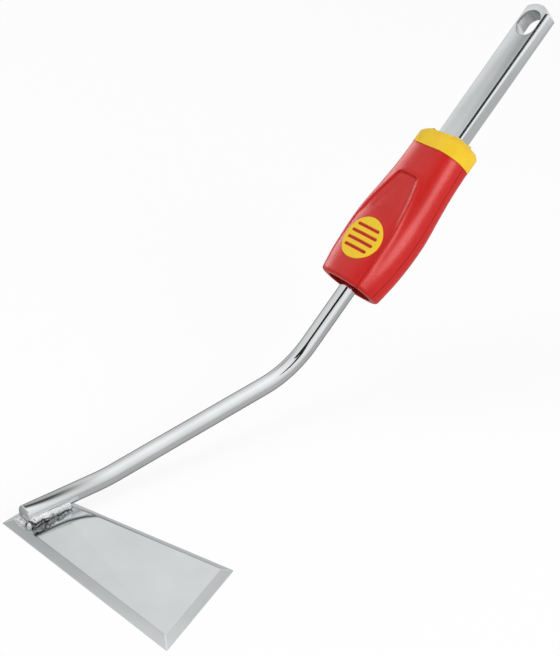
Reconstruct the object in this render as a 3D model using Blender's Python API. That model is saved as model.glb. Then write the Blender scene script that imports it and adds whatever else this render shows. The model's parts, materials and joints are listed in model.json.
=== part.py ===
# Head of a push-pull hoe for a quick-change handle, in metres, +Z up.
# The blade lies level, as in use, and the handle leaves it upwards and backwards along +Y.
# The origin is the point on the tang's axis where the handle's socket stops.
import math

import bmesh
import bpy
import numpy as np
from mathutils import Matrix, Vector

# Gap between pieces that touch
GAP = 0.0003
# How far joined solids run into each other
OVERLAP = 0.0004
# How far cutters run on past what they cut
BEYOND = 0.03

# Blade: four straight edges, ground to a bevel all round on its upper side
FRONT_EDGE = 0.133
FRONT_ANGLE = math.radians(2.2)
HEEL_EDGE = 0.034
HEEL_ANGLE = math.radians(98.7)
BACK_EDGE = 0.116
BACK_ANGLE = math.radians(16.3)
BLADE_THICKNESS = 0.0025
BEVEL_WIDTH = 0.0049
EDGE_THICKNESS = 0.0004
# The corner of the front edge and the heel, seen from the end of the rod
FRONT_CORNER = (-0.0101, -0.0070)

# Rod: flat on the blade, then a slow rise, then the bend up into the housing
ROD_RADIUS = 0.0050
ROD_FLAT_RUN = 0.0505
ROD_RISE_RUN = 0.1265
ROD_RISE_ANGLE = math.radians(6.9)
HANDLE_ANGLE = math.radians(41.4)
FOOT_BEND_RADIUS = 0.120
NECK_BEND_RADIUS = 0.062

# Weld beads along both sides of the rod and across its end
BEAD_RADIUS = 0.0032
BEAD_REACH = 0.0061
BEAD_HEIGHT = 0.0024
BEAD_RIPPLE = 0.16
BEAD_PITCH = 0.0036
FRONT_BEAD = (-0.0005, 0.0275)
BACK_BEAD = (0.0030, 0.0235)
END_BEAD_RADIUS = 0.0019
END_BEAD_REACH = 0.0032

# Stations along the handle's axis, counted from the bend of the rod
MOUTH = 0.0575
BLOCK_START = 0.0595
BLOCK_END = 0.0960
ROD_TOP = 0.0800
TANG_START = 0.0825
SHELL_END = MOUTH + 0.0897
COLLAR_START = SHELL_END + GAP
SOCKET_STOP = SHELL_END - 0.0067
TANG_END = SHELL_END + 0.1048

# Tang: flat bar with slightly rounded long edges, a bowed end and a hanging slot
TANG_WIDTH = 0.0172
TANG_THICKNESS = 0.0105
TANG_EDGE_RADIUS = 0.0007
TANG_BOW = 0.0040
SLOT_WIDTH = 0.0128
SLOT_LENGTH = 0.0165
SLOT_TIP_WALL = 0.0048

# Block that joins the rod to the tang
BLOCK_WIDTH = 0.0220
BLOCK_THICKNESS = 0.0132
BLOCK_EDGE_RADIUS = 0.0016
CROSS_PIN_RADIUS = 0.0020
ROD_PIN_STATION = 0.0690
TANG_PIN_STATION = 0.0885

# Housing: ovals with squarish sides, given as distance from the mouth, half width, half depth
SECTIONS = (
    (0.0000, 0.01815, 0.01555),
    (0.0145, 0.02110, 0.01585),
    (0.0285, 0.02260, 0.01590),
    (0.0415, 0.02275, 0.01560),
    (0.0600, 0.02100, 0.01415),
    (0.0735, 0.01960, 0.01365),
    (0.0900, 0.01860, 0.01390),
)
SECTION_POWER = 2.5
SECTION_POINTS = 48
STATION_STEP = 0.0065
WALL = 0.0024
MOUTH_ROUND = 0.0022
SEAM_ROUND = 0.0005
STOP_WALL = 0.0008
RIB_STATIONS = ((0.0670, 0.0690), (0.0920, 0.0940), (SOCKET_STOP - 0.0030, SOCKET_STOP + STOP_WALL))
RIB_TOP = 0.0090

# Release button: a tongue let into the front shell, hinged near the mouth
BUTTON_HALF_WIDTH = 0.0148
BUTTON_MOUTH_HALF_WIDTH = 0.0130
BUTTON_WIDE_START = 0.0680
BUTTON_OVERRUN = 0.0060
BUTTON_TIP_HALF_WIDTH = 0.0068
BUTTON_TAPER_START = 0.0870
BUTTON_TAPER_POWER = 1.7
BUTTON_TIP = 0.1272
BUTTON_TIP_ROUND = 0.0030
BUTTON_WALL = 0.0022
BUTTON_LOW = 0.0099
BUTTON_GAP = 0.00035
HINGE_STATION = 0.0620
HINGE_HEIGHT = 0.0081
HINGE_PIN_RADIUS = 0.00125
HINGE_PIN_LENGTH = 0.0332
LUG_INNER = 0.0114
LUG_OUTER = 0.0138
LUG_RADIUS = 0.0026
LUG_WEB_HALF_LENGTH = 0.0021
PAD_RADIUS = 0.0131
PAD_STATION = 0.0828
PAD_DEPTH = 0.0009
PAD_RISE = 0.0003
PAD_GROOVES = 4
PAD_GROOVE_WIDTH = 0.0012
PAD_GROOVE_DEPTH = 0.0005
PAD_GROOVE_PITCH = 0.0042

# Latch arm under the button, and its two rivets
ARM_HALF_WIDTH = 0.0050
ARM_BOTTOM = 0.0079
ARM_THICKNESS = 0.0015
ARM_START = 0.1100
ARM_END = SHELL_END + 0.0028
NOSE_LENGTH = 0.0040
NOSE_RISE = 0.0017
FOOT_START = 0.1100
FOOT_END = 0.1230
RIVET_STATIONS = (0.1127, 0.1190)
RIVET_RADIUS = 0.0012
RIVET_HEAD_RADIUS = 0.0022
RIVET_HEAD_HEIGHT = 0.0006
RIVET_LENGTH = 0.0032

# Return spring between the tang and the button
SPRING_STATION = 0.1025
SPRING_RADIUS = 0.0031
SPRING_WIRE = 0.0004
SPRING_TURNS = 4
SPRING_CURL_POINTS = 10

# Handle recess round the tang, inside the collar and down to the stop
RECESS_HALF_WIDTH = 0.0113
RECESS_FRONT = 0.0114
RECESS_BACK = 0.0078
RECESS_EDGE_RADIUS = 0.0025

# Collar: a ring with a domed top, given as height above its start and inset
COLLAR_PROUD = 0.0006
COLLAR_PROFILE = (
    (0.0000, 0.0000),
    (0.0075, 0.0000),
    (0.0086, 0.0004),
    (0.0095, 0.0010),
    (0.0105, 0.0020),
    (0.0113, 0.0030),
    (0.0122, 0.0043),
    (0.0128, 0.0053),
)
# Rise of the dome's rings towards the right and towards the front
COLLAR_LEAN = (0.041, -0.036)
# Neck round the handle's recess, with a top that leans more
NECK_HALF_WIDTH = 0.0127
NECK_FRONT = 0.0129
NECK_BACK = 0.0092
NECK_EDGE_RADIUS = 0.0050
NECK_HEIGHT = 0.0128
NECK_LEAN = (0.113, -0.200)
# Two tabs inside the shells, each held by a screw
TAB_START = SOCKET_STOP + 2 * GAP
TAB_INNER = 0.0117
TAB_OUTER = 0.0158
TAB_HALF_THICKNESS = 0.0020
TAB_ROOM = 0.0009

# Four screws that hold the shells together, driven from the back
SCREW_PLACES = (
    (0.0150, 0.0760),
    (-0.0150, 0.0760),
    (0.0141, SHELL_END - 0.0032),
    (-0.0141, SHELL_END - 0.0032),
)
SCREW_RADIUS = 0.0014
SCREW_HEAD_RADIUS = 0.0026
SCREW_HEAD_HEIGHT = 0.0016
SCREW_HEAD_TOP = -0.0070
SCREW_TIP = 0.0070
CROSS_REACH = 0.0016
CROSS_HALF_WIDTH = 0.0004
CROSS_DEPTH = 0.0009
BOSS_RADIUS = 0.0030
BOSS_TOP = 0.0085


def clear_scene():
    for thing in list(bpy.data.objects):
        bpy.data.objects.remove(thing, do_unlink=True)


def make_collection(name):
    group = bpy.data.collections.new(name)
    bpy.context.scene.collection.children.link(group)
    return group


def make_material(name, colour, metallic, roughness):
    material = bpy.data.materials.new(name)
    material.use_nodes = True
    shader = material.node_tree.nodes["Principled BSDF"]
    shader.inputs["Base Color"].default_value = (*colour, 1.0)
    shader.inputs["Metallic"].default_value = metallic
    shader.inputs["Roughness"].default_value = roughness
    return material


clear_scene()
PARTS = make_collection("dutch_hoe")
CUTTERS = make_collection("cutters")


def make_empty(name, location, rotation=(0.0, 0.0, 0.0)):
    empty = bpy.data.objects.new(name, None)
    empty.empty_display_size = 0.02
    empty.location = location
    empty.rotation_euler = rotation
    PARTS.objects.link(empty)
    return empty


# Worked out: where the bend, the rod's end and the blade lie
AXIS = Vector((0.0, math.cos(HANDLE_ANGLE), math.sin(HANDLE_ANGLE)))
BEND = -AXIS * SOCKET_STOP
ROD_RISE = ROD_RISE_RUN * math.tan(ROD_RISE_ANGLE)
FOOT = Vector((0.0, BEND.y - ROD_RISE_RUN - ROD_FLAT_RUN, BEND.z - ROD_RISE))
BLADE_TOP = -ROD_RADIUS - GAP

# Pieces of the handle end are modelled with +Y along the handle and +Z to its front
HANDLE_FRAME = make_empty("handle_frame", BEND, (HANDLE_ANGLE, 0.0, 0.0))
# Pieces of the blade end are modelled from the end of the rod's axis
FOOT_FRAME = make_empty("foot_frame", FOOT)


def add_object(name, mesh, parent, material=None, cutter=False, smooth=True):
    thing = bpy.data.objects.new(name, mesh)
    (CUTTERS if cutter else PARTS).objects.link(thing)
    thing.parent = parent
    if cutter:
        thing.hide_render = True
        thing.display_type = "WIRE"
    if material:
        mesh.materials.append(material)
    if smooth:
        mesh.shade_smooth()
        mesh.set_sharp_from_angle(angle=math.radians(35))
    return thing


def mesh_from(name, bm):
    bmesh.ops.recalc_face_normals(bm, faces=bm.faces)
    mesh = bpy.data.meshes.new(name)
    bm.to_mesh(mesh)
    bm.free()
    return mesh


def box_mesh(name, low, high, edge_radius=0.0, along="Y"):
    """Box between two corners, with its four edges along one axis rounded."""
    bm = bmesh.new()
    bmesh.ops.create_cube(bm, size=1.0)
    low, high = Vector(low), Vector(high)
    size = high - low
    bmesh.ops.scale(bm, vec=size, verts=bm.verts)
    bmesh.ops.translate(bm, vec=(low + high) / 2, verts=bm.verts)
    if edge_radius > 0.0:
        index = "XYZ".index(along)
        edges = []
        for edge in bm.edges:
            run = edge.verts[0].co - edge.verts[1].co
            if abs(run[index]) > 0.9 * run.length:
                edges.append(edge)
        bmesh.ops.bevel(bm, geom=edges, offset=edge_radius, segments=4, profile=0.5, affect="EDGES")
    return mesh_from(name, bm)


def cylinder_mesh(name, start, end, radius, sides=24, end_radius=None):
    """Cylinder or cone between two points."""
    start, end = Vector(start), Vector(end)
    run = end - start
    top = radius if end_radius is None else end_radius
    bm = bmesh.new()
    bmesh.ops.create_cone(bm, cap_ends=True, segments=sides, radius1=radius, radius2=top, depth=run.length)
    turn = Vector((0.0, 0.0, 1.0)).rotation_difference(run).to_matrix().to_4x4()
    bmesh.ops.transform(bm, matrix=Matrix.Translation((start + end) / 2) @ turn, verts=bm.verts)
    return mesh_from(name, bm)


def prism_mesh(name, outline, low, high):
    """Closed outline in X and Y, raised from one height to another."""
    bm = bmesh.new()
    corners = [bm.verts.new((x, y, low)) for x, y in outline]
    face = bm.faces.new(corners)
    raised = bmesh.ops.extrude_face_region(bm, geom=[face])
    top = [v for v in raised["geom"] if isinstance(v, bmesh.types.BMVert)]
    bmesh.ops.translate(bm, vec=(0.0, 0.0, high - low), verts=top)
    return mesh_from(name, bm)


def loft_mesh(name, rings):
    """Skin through closed rings of equal count, capped at both ends."""
    bm = bmesh.new()
    loops = [[bm.verts.new(point) for point in ring] for ring in rings]
    count = len(rings[0])
    for lower, upper in zip(loops, loops[1:]):
        for i in range(count):
            j = (i + 1) % count
            bm.faces.new((lower[i], lower[j], upper[j], upper[i]))
    bm.faces.new(loops[0])
    bm.faces.new(loops[-1])
    return mesh_from(name, bm)


def tube_mesh(name, points, radius, resolution, swell=None):
    """Round tube along points, from a curve with filled caps."""
    curve = bpy.data.curves.new(name, "CURVE")
    curve.dimensions = "3D"
    curve.bevel_depth = radius
    curve.bevel_resolution = resolution
    curve.use_fill_caps = True
    spline = curve.splines.new("POLY")
    spline.points.add(len(points) - 1)
    for i, point in enumerate(points):
        spline.points[i].co = (*point, 1.0)
        spline.points[i].radius = 1.0 if swell is None else swell[i]
    holder = bpy.data.objects.new(name + "_curve", curve)
    PARTS.objects.link(holder)
    bpy.context.view_layer.update()
    shape = holder.evaluated_get(bpy.context.evaluated_depsgraph_get())
    mesh = bpy.data.meshes.new_from_object(shape)
    bpy.data.objects.remove(holder, do_unlink=True)
    bm = bmesh.new()
    bm.from_mesh(mesh)
    bpy.data.meshes.remove(mesh)
    bmesh.ops.remove_doubles(bm, verts=bm.verts, dist=0.000001)
    return mesh_from(name, bm)


def boolean(target, cutter, operation="DIFFERENCE"):
    modifier = target.modifiers.new(cutter.name, "BOOLEAN")
    modifier.operation = operation
    modifier.solver = "EXACT"
    modifier.object = cutter


def box_cutter(name, low, high, parent, edge_radius=0.0, along="Y"):
    mesh = box_mesh(name, low, high, edge_radius, along)
    return add_object(name, mesh, parent, cutter=True, smooth=False)


def round_cutter(name, start, end, radius, parent, sides=24):
    mesh = cylinder_mesh(name, start, end, radius, sides)
    return add_object(name, mesh, parent, cutter=True, smooth=False)


# Colours and finishes
BLADE_STEEL = make_material("blade_steel", (0.62, 0.63, 0.64), 1.0, 0.22)
CHROME = make_material("chromed_rod", (0.72, 0.73, 0.74), 1.0, 0.10)
TANG_STEEL = make_material("tang_steel", (0.52, 0.54, 0.54), 1.0, 0.32)
WELD_METAL = make_material("weld_metal", (0.60, 0.60, 0.61), 1.0, 0.28)
DARK_STEEL = make_material("inner_steel", (0.22, 0.22, 0.23), 1.0, 0.45)
RED_PLASTIC = make_material("red_plastic", (0.58, 0.028, 0.022), 0.0, 0.38)
YELLOW_PLASTIC = make_material("yellow_plastic", (0.86, 0.60, 0.04), 0.0, 0.40)
ZINC_STEEL = make_material("zinc_steel", (0.55, 0.55, 0.52), 1.0, 0.35)


def blade_corners():
    """Front corner, back corner at the heel, back corner at the free end, front corner there."""
    def along(point, length, angle):
        return (point[0] + length * math.cos(angle), point[1] + length * math.sin(angle))
    heel_front = FRONT_CORNER
    heel_back = along(heel_front, HEEL_EDGE, HEEL_ANGLE)
    free_back = along(heel_back, BACK_EDGE, BACK_ANGLE)
    free_front = along(heel_front, FRONT_EDGE, FRONT_ANGLE)
    return heel_front, free_front, free_back, heel_back


def make_blade():
    bottom = BLADE_TOP - BLADE_THICKNESS
    bm = bmesh.new()
    face = bm.faces.new([bm.verts.new((x, y, bottom)) for x, y in blade_corners()])
    raised = bmesh.ops.extrude_face_region(bm, geom=[face])
    top = [v for v in raised["geom"] if isinstance(v, bmesh.types.BMVert)]
    bmesh.ops.translate(bm, vec=(0.0, 0.0, EDGE_THICKNESS), verts=top)
    bmesh.ops.recalc_face_normals(bm, faces=bm.faces)
    bm.faces.ensure_lookup_table()
    upper = max(bm.faces, key=lambda f: f.calc_center_median().z)
    bmesh.ops.inset_region(
        bm, faces=[upper], thickness=BEVEL_WIDTH, depth=BLADE_THICKNESS - EDGE_THICKNESS,
        use_even_offset=True)
    add_object("blade", mesh_from("blade", bm), FOOT_FRAME, BLADE_STEEL)


def rounded_path(corners, radii, arc_points):
    """Straight runs joined by arcs; every corner but the first and last has a radius."""
    points = [Vector(corners[0])]
    for before, corner, after, radius in zip(corners, corners[1:], corners[2:], radii):
        corner = Vector(corner)
        into = (corner - Vector(before)).normalized()
        away = (Vector(after) - corner).normalized()
        turn = into.angle(away)
        tangent = radius * math.tan(turn / 2)
        start = corner - into * tangent
        middle = start + (away - into * into.dot(away)).normalized() * radius
        side = (start - middle) / radius
        for i in range(arc_points + 1):
            angle = turn * i / arc_points
            points.append(middle + side * (radius * math.cos(angle)) + into * (radius * math.sin(angle)))
    points.append(Vector(corners[-1]))
    return points


def rod_path():
    """Rod's axis in the foot's frame, from its end on the blade to its end in the block."""
    bend = BEND - FOOT
    return rounded_path(
        ((0.0, 0.0, 0.0), (0.0, ROD_FLAT_RUN, 0.0), bend, bend + AXIS * ROD_TOP),
        (FOOT_BEND_RADIUS, NECK_BEND_RADIUS), 8)


def make_rod(pin_hole):
    rod = add_object("rod", tube_mesh("rod", rod_path(), ROD_RADIUS, 10), FOOT_FRAME, CHROME)
    boolean(rod, pin_hole)


def bead_path(start, end, side):
    """Points and swells of a rippled bead beside the rod."""
    ripples = max(3, round((end - start) / BEAD_PITCH))
    count = ripples * 4
    points, swell = [], []
    for i in range(count + 1):
        t = i / count
        crest = abs(math.cos(math.pi * ripples * t))
        tip = math.sqrt(max(0.0, 1.0 - max(0.0, abs(2 * t - 1) * 1.06 - 0.06) ** 8))
        points.append((side * BEAD_REACH, start + (end - start) * t, BLADE_TOP + BEAD_HEIGHT))
        swell.append((1.0 - BEAD_RIPPLE * (1.0 - crest)) * (0.55 + 0.45 * tip))
    return points, swell


def make_welds():
    grown = add_object(
        "rod_clearance", tube_mesh("rod_clearance", rod_path(), ROD_RADIUS + GAP, 10),
        FOOT_FRAME, cutter=True)
    under = box_cutter(
        "under_beads", (-BEYOND, -BEYOND, BLADE_TOP - BEYOND),
        (BEYOND, FRONT_BEAD[1] + BEYOND, BLADE_TOP + GAP), FOOT_FRAME)
    for name, span, side in (("weld_front", FRONT_BEAD, 1), ("weld_back", BACK_BEAD, -1)):
        points, swell = bead_path(*span, side)
        bead = add_object(name, tube_mesh(name, points, BEAD_RADIUS, 4, swell), FOOT_FRAME, WELD_METAL)
        boolean(bead, grown)
        boolean(bead, under)
    half = ROD_RADIUS - END_BEAD_RADIUS
    steps = 8
    behind, height = -GAP - END_BEAD_RADIUS * 0.55, BLADE_TOP + END_BEAD_REACH / 2
    points = [(-half + 2 * half * i / steps, behind, height) for i in range(steps + 1)]
    swell = [0.7 + 0.3 * math.sin(math.pi * i / steps) for i in range(steps + 1)]
    bead = add_object(
        "weld_end", tube_mesh("weld_end", points, END_BEAD_RADIUS, 4, swell), FOOT_FRAME, WELD_METAL)
    boolean(bead, grown)
    boolean(bead, under)
    past = box_cutter(
        "behind_end_bead", (-BEYOND, -GAP, BLADE_TOP - BEYOND), (BEYOND, BEYOND, BEYOND), FOOT_FRAME)
    boolean(bead, past)
    corner = FRONT_BEAD[0] - 2 * BEAD_RADIUS
    beside = box_cutter(
        "beside_end_bead", (BEAD_REACH - BEAD_RADIUS - GAP, corner, BLADE_TOP - BEYOND),
        (BEYOND, BEYOND, BEYOND), FOOT_FRAME)
    boolean(bead, beside)


def tang_outline():
    """Bowed end: an arc across the width that rises TANG_BOW at its middle."""
    half = TANG_WIDTH / 2
    radius = (half * half + TANG_BOW * TANG_BOW) / (2 * TANG_BOW)
    sweep = math.asin(half / radius)
    centre = TANG_END - radius
    arc = [(radius * math.sin(a), centre + radius * math.cos(a)) for a in np.linspace(sweep, -sweep, 17)]
    return [(-half, TANG_START), (half, TANG_START)] + arc


def slot_outline(width, length, tip):
    """Slot with round ends, its far end at a station."""
    radius = width / 2
    far, near = tip - radius, tip - length + radius
    upper = [(radius * math.cos(a), far + radius * math.sin(a)) for a in np.linspace(0.0, math.pi, 13)]
    lower = [(radius * math.cos(a), near + radius * math.sin(a))
             for a in np.linspace(math.pi, 2 * math.pi, 13)]
    return upper + lower


def make_tang(pin_hole):
    half_width, half_thickness = TANG_WIDTH / 2, TANG_THICKNESS / 2
    bar = box_mesh(
        "tang", (-half_width, TANG_START, -half_thickness),
        (half_width, TANG_END + BEYOND, half_thickness), TANG_EDGE_RADIUS)
    tang = add_object("tang", bar, HANDLE_FRAME, TANG_STEEL)
    outline = add_object(
        "tang_outline", prism_mesh("tang_outline", tang_outline(), -BEYOND, BEYOND),
        HANDLE_FRAME, cutter=True, smooth=False)
    boolean(tang, outline, "INTERSECT")
    ends = slot_outline(SLOT_WIDTH, SLOT_LENGTH, TANG_END - SLOT_TIP_WALL)
    slot = add_object(
        "hanging_slot", prism_mesh("hanging_slot", ends, -BEYOND, BEYOND),
        HANDLE_FRAME, cutter=True, smooth=False)
    boolean(tang, slot)
    boolean(tang, pin_hole)


def make_block(rod_hole, tang_hole):
    half_width, half_thickness = BLOCK_WIDTH / 2, BLOCK_THICKNESS / 2
    block = add_object(
        "coupling_block",
        box_mesh("coupling_block", (-half_width, BLOCK_START, -half_thickness),
                 (half_width, BLOCK_END, half_thickness), BLOCK_EDGE_RADIUS),
        HANDLE_FRAME, DARK_STEEL)
    bore = round_cutter(
        "rod_bore", (0.0, BLOCK_START - BEYOND, 0.0), (0.0, ROD_TOP + GAP, 0.0),
        ROD_RADIUS + GAP, HANDLE_FRAME)
    pocket = box_cutter(
        "tang_pocket", (-TANG_WIDTH / 2 - GAP, TANG_START - GAP, -TANG_THICKNESS / 2 - GAP),
        (TANG_WIDTH / 2 + GAP, BLOCK_END + BEYOND, TANG_THICKNESS / 2 + GAP),
        HANDLE_FRAME, TANG_EDGE_RADIUS)
    for cutter in (bore, pocket, rod_hole, tang_hole):
        boolean(block, cutter)


def make_cross_pins():
    """Pins through the block, and the holes that they need."""
    holes = []
    reach = BLOCK_THICKNESS / 2 - GAP
    for name, station in (("rod_pin", ROD_PIN_STATION), ("tang_pin", TANG_PIN_STATION)):
        add_object(
            name, cylinder_mesh(name, (0.0, station, -reach), (0.0, station, reach), CROSS_PIN_RADIUS, 16),
            HANDLE_FRAME, DARK_STEEL)
        holes.append(round_cutter(
            name + "_hole", (0.0, station, -BEYOND), (0.0, station, BEYOND),
            CROSS_PIN_RADIUS + GAP, HANDLE_FRAME, 16))
    return holes


def section_at(station):
    """Half width and half depth of the housing, by a smooth curve through SECTIONS."""
    table = np.array(SECTIONS)
    at = table[:, 0] + MOUTH
    slopes = np.gradient(table[:, 1:], at, axis=0)
    i = int(np.clip(np.searchsorted(at, station) - 1, 0, len(at) - 2))
    span = at[i + 1] - at[i]
    t = min(max((station - at[i]) / span, 0.0), 1.0)
    start, end = table[i, 1:], table[i + 1, 1:]
    return ((2 * t**3 - 3 * t**2 + 1) * start + (t**3 - 2 * t**2 + t) * span * slopes[i]
            + (3 * t**2 - 2 * t**3) * end + (t**3 - t**2) * span * slopes[i + 1])


def oval_ring(half_width, half_depth, station):
    """Points round an oval with squarish sides, at one station."""
    ring = []
    for i in range(SECTION_POINTS):
        angle = 2 * math.pi * i / SECTION_POINTS
        c, s = round(math.cos(angle), 12), round(math.sin(angle), 12)
        x = half_width * math.copysign(abs(c) ** (2 / SECTION_POWER), c)
        z = half_depth * math.copysign(abs(s) ** (2 / SECTION_POWER), s)
        ring.append((x, station, z))
    return ring


def rounding(distance, radius):
    """How far a surface draws in at a distance from a rounded end."""
    if distance >= radius:
        return 0.0
    return radius - math.sqrt(max(0.0, radius**2 - (radius - distance) ** 2))


def housing_loft(name, start, end, inset=0.0, start_round=0.0, end_round=0.0):
    """Length of the housing's outer form, drawn in all round by inset."""
    stations = list(np.linspace(start + start_round, end - end_round,
                                max(2, round((end - start) / STATION_STEP) + 1)))
    for part in (0.55, 0.25, 0.06, 0.0):
        if start_round > 0.0:
            stations.append(start + start_round * part)
        if end_round > 0.0:
            stations.append(end - end_round * part)
    rings = []
    for station in sorted(stations):
        drawn = inset + max(rounding(station - start, start_round), rounding(end - station, end_round))
        half_width, half_depth = section_at(station)
        rings.append(oval_ring(half_width - drawn, half_depth - drawn, station))
    return loft_mesh(name, rings)


def button_outline(grow=0.0):
    """Tongue: parallel sides, then drawn in by a power curve to a round-cornered tip."""
    tip, start = BUTTON_TIP + grow, MOUTH - BUTTON_OVERRUN
    side = [
        (BUTTON_MOUTH_HALF_WIDTH + grow, start), (BUTTON_HALF_WIDTH + grow, BUTTON_WIDE_START),
        (BUTTON_HALF_WIDTH + grow, BUTTON_TAPER_START)]
    last = BUTTON_TIP - BUTTON_TIP_ROUND
    for station in np.linspace(BUTTON_TAPER_START, last, 9)[1:]:
        t = (station - BUTTON_TAPER_START) / (BUTTON_TIP - BUTTON_TAPER_START)
        fall = (BUTTON_HALF_WIDTH - BUTTON_TIP_HALF_WIDTH) * t**BUTTON_TAPER_POWER
        side.append((BUTTON_HALF_WIDTH + grow - fall, station))
    corner = side[-1][0] - BUTTON_TIP_ROUND - grow
    for angle in np.linspace(0.0, math.pi / 2, 6)[1:]:
        radius = BUTTON_TIP_ROUND + grow
        side.append((corner + radius * math.cos(angle), last + (tip - last) * math.sin(angle)))
    return side + [(-x, y) for x, y in reversed(side)]


def button_cutter(name, grow, bottom):
    return add_object(
        name, prism_mesh(name, button_outline(grow), bottom, BEYOND),
        HANDLE_FRAME, cutter=True, smooth=False)


def pad_cutter(name, grow):
    return round_cutter(
        name, (0.0, PAD_STATION, 0.0), (0.0, PAD_STATION, BEYOND), PAD_RADIUS + grow, HANDLE_FRAME, 40)


def make_shells():
    """Front and back shells: one outer form, hollowed between ribs and parted at the axis."""
    cavities = []
    edges = [MOUTH - BEYOND] + [station for rib in RIB_STATIONS for station in rib] + [SHELL_END + BEYOND]
    for i in range(0, len(edges), 2):
        name = f"cavity_{i // 2 + 1}"
        low, high = edges[i], edges[i + 1]
        cavities.append(add_object(
            name, housing_loft(name, low, high, WALL), HANDLE_FRAME, cutter=True, smooth=False))
    block = box_cutter(
        "block_clearance",
        (-BLOCK_WIDTH / 2 - GAP, MOUTH - BEYOND, -BLOCK_THICKNESS / 2 - GAP),
        (BLOCK_WIDTH / 2 + GAP, BLOCK_END + GAP, BLOCK_THICKNESS / 2 + GAP), HANDLE_FRAME)
    tang = box_cutter(
        "tang_clearance",
        (-TANG_WIDTH / 2 - GAP, TANG_START, -TANG_THICKNESS / 2 - GAP),
        (TANG_WIDTH / 2 + GAP, TANG_END, TANG_THICKNESS / 2 + GAP), HANDLE_FRAME)
    arm = box_cutter(
        "arm_window", (-ARM_HALF_WIDTH - 2 * GAP, ARM_START, 0.0),
        (ARM_HALF_WIDTH + 2 * GAP, SHELL_END + BEYOND, ARM_BOTTOM + ARM_THICKNESS + GAP), HANDLE_FRAME)
    recess = box_cutter(
        "handle_recess", (-RECESS_HALF_WIDTH, SOCKET_STOP, -RECESS_BACK),
        (RECESS_HALF_WIDTH, COLLAR_START + BEYOND, RECESS_FRONT), HANDLE_FRAME, RECESS_EDGE_RADIUS)
    opening = button_cutter("button_opening", BUTTON_GAP, RIB_TOP)
    lug_room = []
    for side, label in ((1, "right"), (-1, "left")):
        low, high = sorted((side * (LUG_INNER - GAP), side * (LUG_OUTER + GAP)))
        lug_room.append(box_cutter(
            f"lug_room_{label}", (low, MOUTH - BEYOND, HINGE_HEIGHT - LUG_RADIUS - GAP),
            (high, HINGE_STATION + LUG_RADIUS + GAP, RIB_TOP + OVERLAP), HANDLE_FRAME))
    pin_hole = round_cutter(
        "hinge_pin_hole", (-HINGE_PIN_LENGTH / 2 - GAP, HINGE_STATION, HINGE_HEIGHT),
        (HINGE_PIN_LENGTH / 2 + GAP, HINGE_STATION, HINGE_HEIGHT), HINGE_PIN_RADIUS + GAP, HANDLE_FRAME, 16)
    halves = {
        "front_shell": box_cutter(
            "front_half", (-BEYOND, MOUTH - BEYOND, GAP / 2), (BEYOND, SHELL_END + BEYOND, BEYOND),
            HANDLE_FRAME),
        "back_shell": box_cutter(
            "back_half", (-BEYOND, MOUTH - BEYOND, -BEYOND), (BEYOND, SHELL_END + BEYOND, -GAP / 2),
            HANDLE_FRAME),
    }
    within = add_object(
        "within_housing", housing_loft("within_housing", MOUTH, SHELL_END, WALL / 2),
        HANDLE_FRAME, cutter=True, smooth=False)

    shells = {}
    for name in ("front_shell", "back_shell"):
        shells[name] = add_object(
            name, housing_loft(name, MOUTH, SHELL_END, 0.0, MOUTH_ROUND, SEAM_ROUND),
            HANDLE_FRAME, RED_PLASTIC)
        for cavity in cavities:
            boolean(shells[name], cavity)
    for number, (x, station) in enumerate(SCREW_PLACES, 1):
        boss = add_object(
            f"boss_{number}",
            cylinder_mesh("boss", (x, station, -BEYOND), (x, station, BOSS_TOP), BOSS_RADIUS, 16),
            HANDLE_FRAME, cutter=True, smooth=False)
        boolean(boss, within, "INTERSECT")
        for shell in shells.values():
            boolean(shell, boss, "UNION")
    tabs = []
    for side, label in ((1, "right"), (-1, "left")):
        low, high = sorted((side * (RECESS_HALF_WIDTH - GAP), side * (TAB_OUTER + TAB_ROOM)))
        tabs.append(box_cutter(
            f"tab_room_{label}", (low, TAB_START - GAP, -TAB_HALF_THICKNESS - GAP),
            (high, SHELL_END + BEYOND, TAB_HALF_THICKNESS + GAP), HANDLE_FRAME))
    for shell in shells.values():
        for cutter in (block, tang, recess, *tabs):
            boolean(shell, cutter)
    boolean(shells["front_shell"], arm)
    boolean(shells["front_shell"], opening)
    for room in lug_room:
        boolean(shells["front_shell"], room)
    boolean(shells["front_shell"], pin_hole)
    for name, shell in shells.items():
        boolean(shell, halves[name], "INTERSECT")
    for number, (x, station) in enumerate(SCREW_PLACES, 1):
        shank = round_cutter(
            f"screw_hole_{number}", (x, station, -BEYOND), (x, station, SCREW_TIP + GAP),
            SCREW_RADIUS + GAP, HANDLE_FRAME, 16)
        head = round_cutter(
            f"screw_seat_{number}", (x, station, -BEYOND),
            (x, station, SCREW_HEAD_TOP + SCREW_HEAD_HEIGHT + GAP),
            SCREW_HEAD_RADIUS + GAP, HANDLE_FRAME, 16)
        boolean(shells["front_shell"], shank)
        boolean(shells["back_shell"], shank)
        boolean(shells["back_shell"], head)
    return recess


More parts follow.
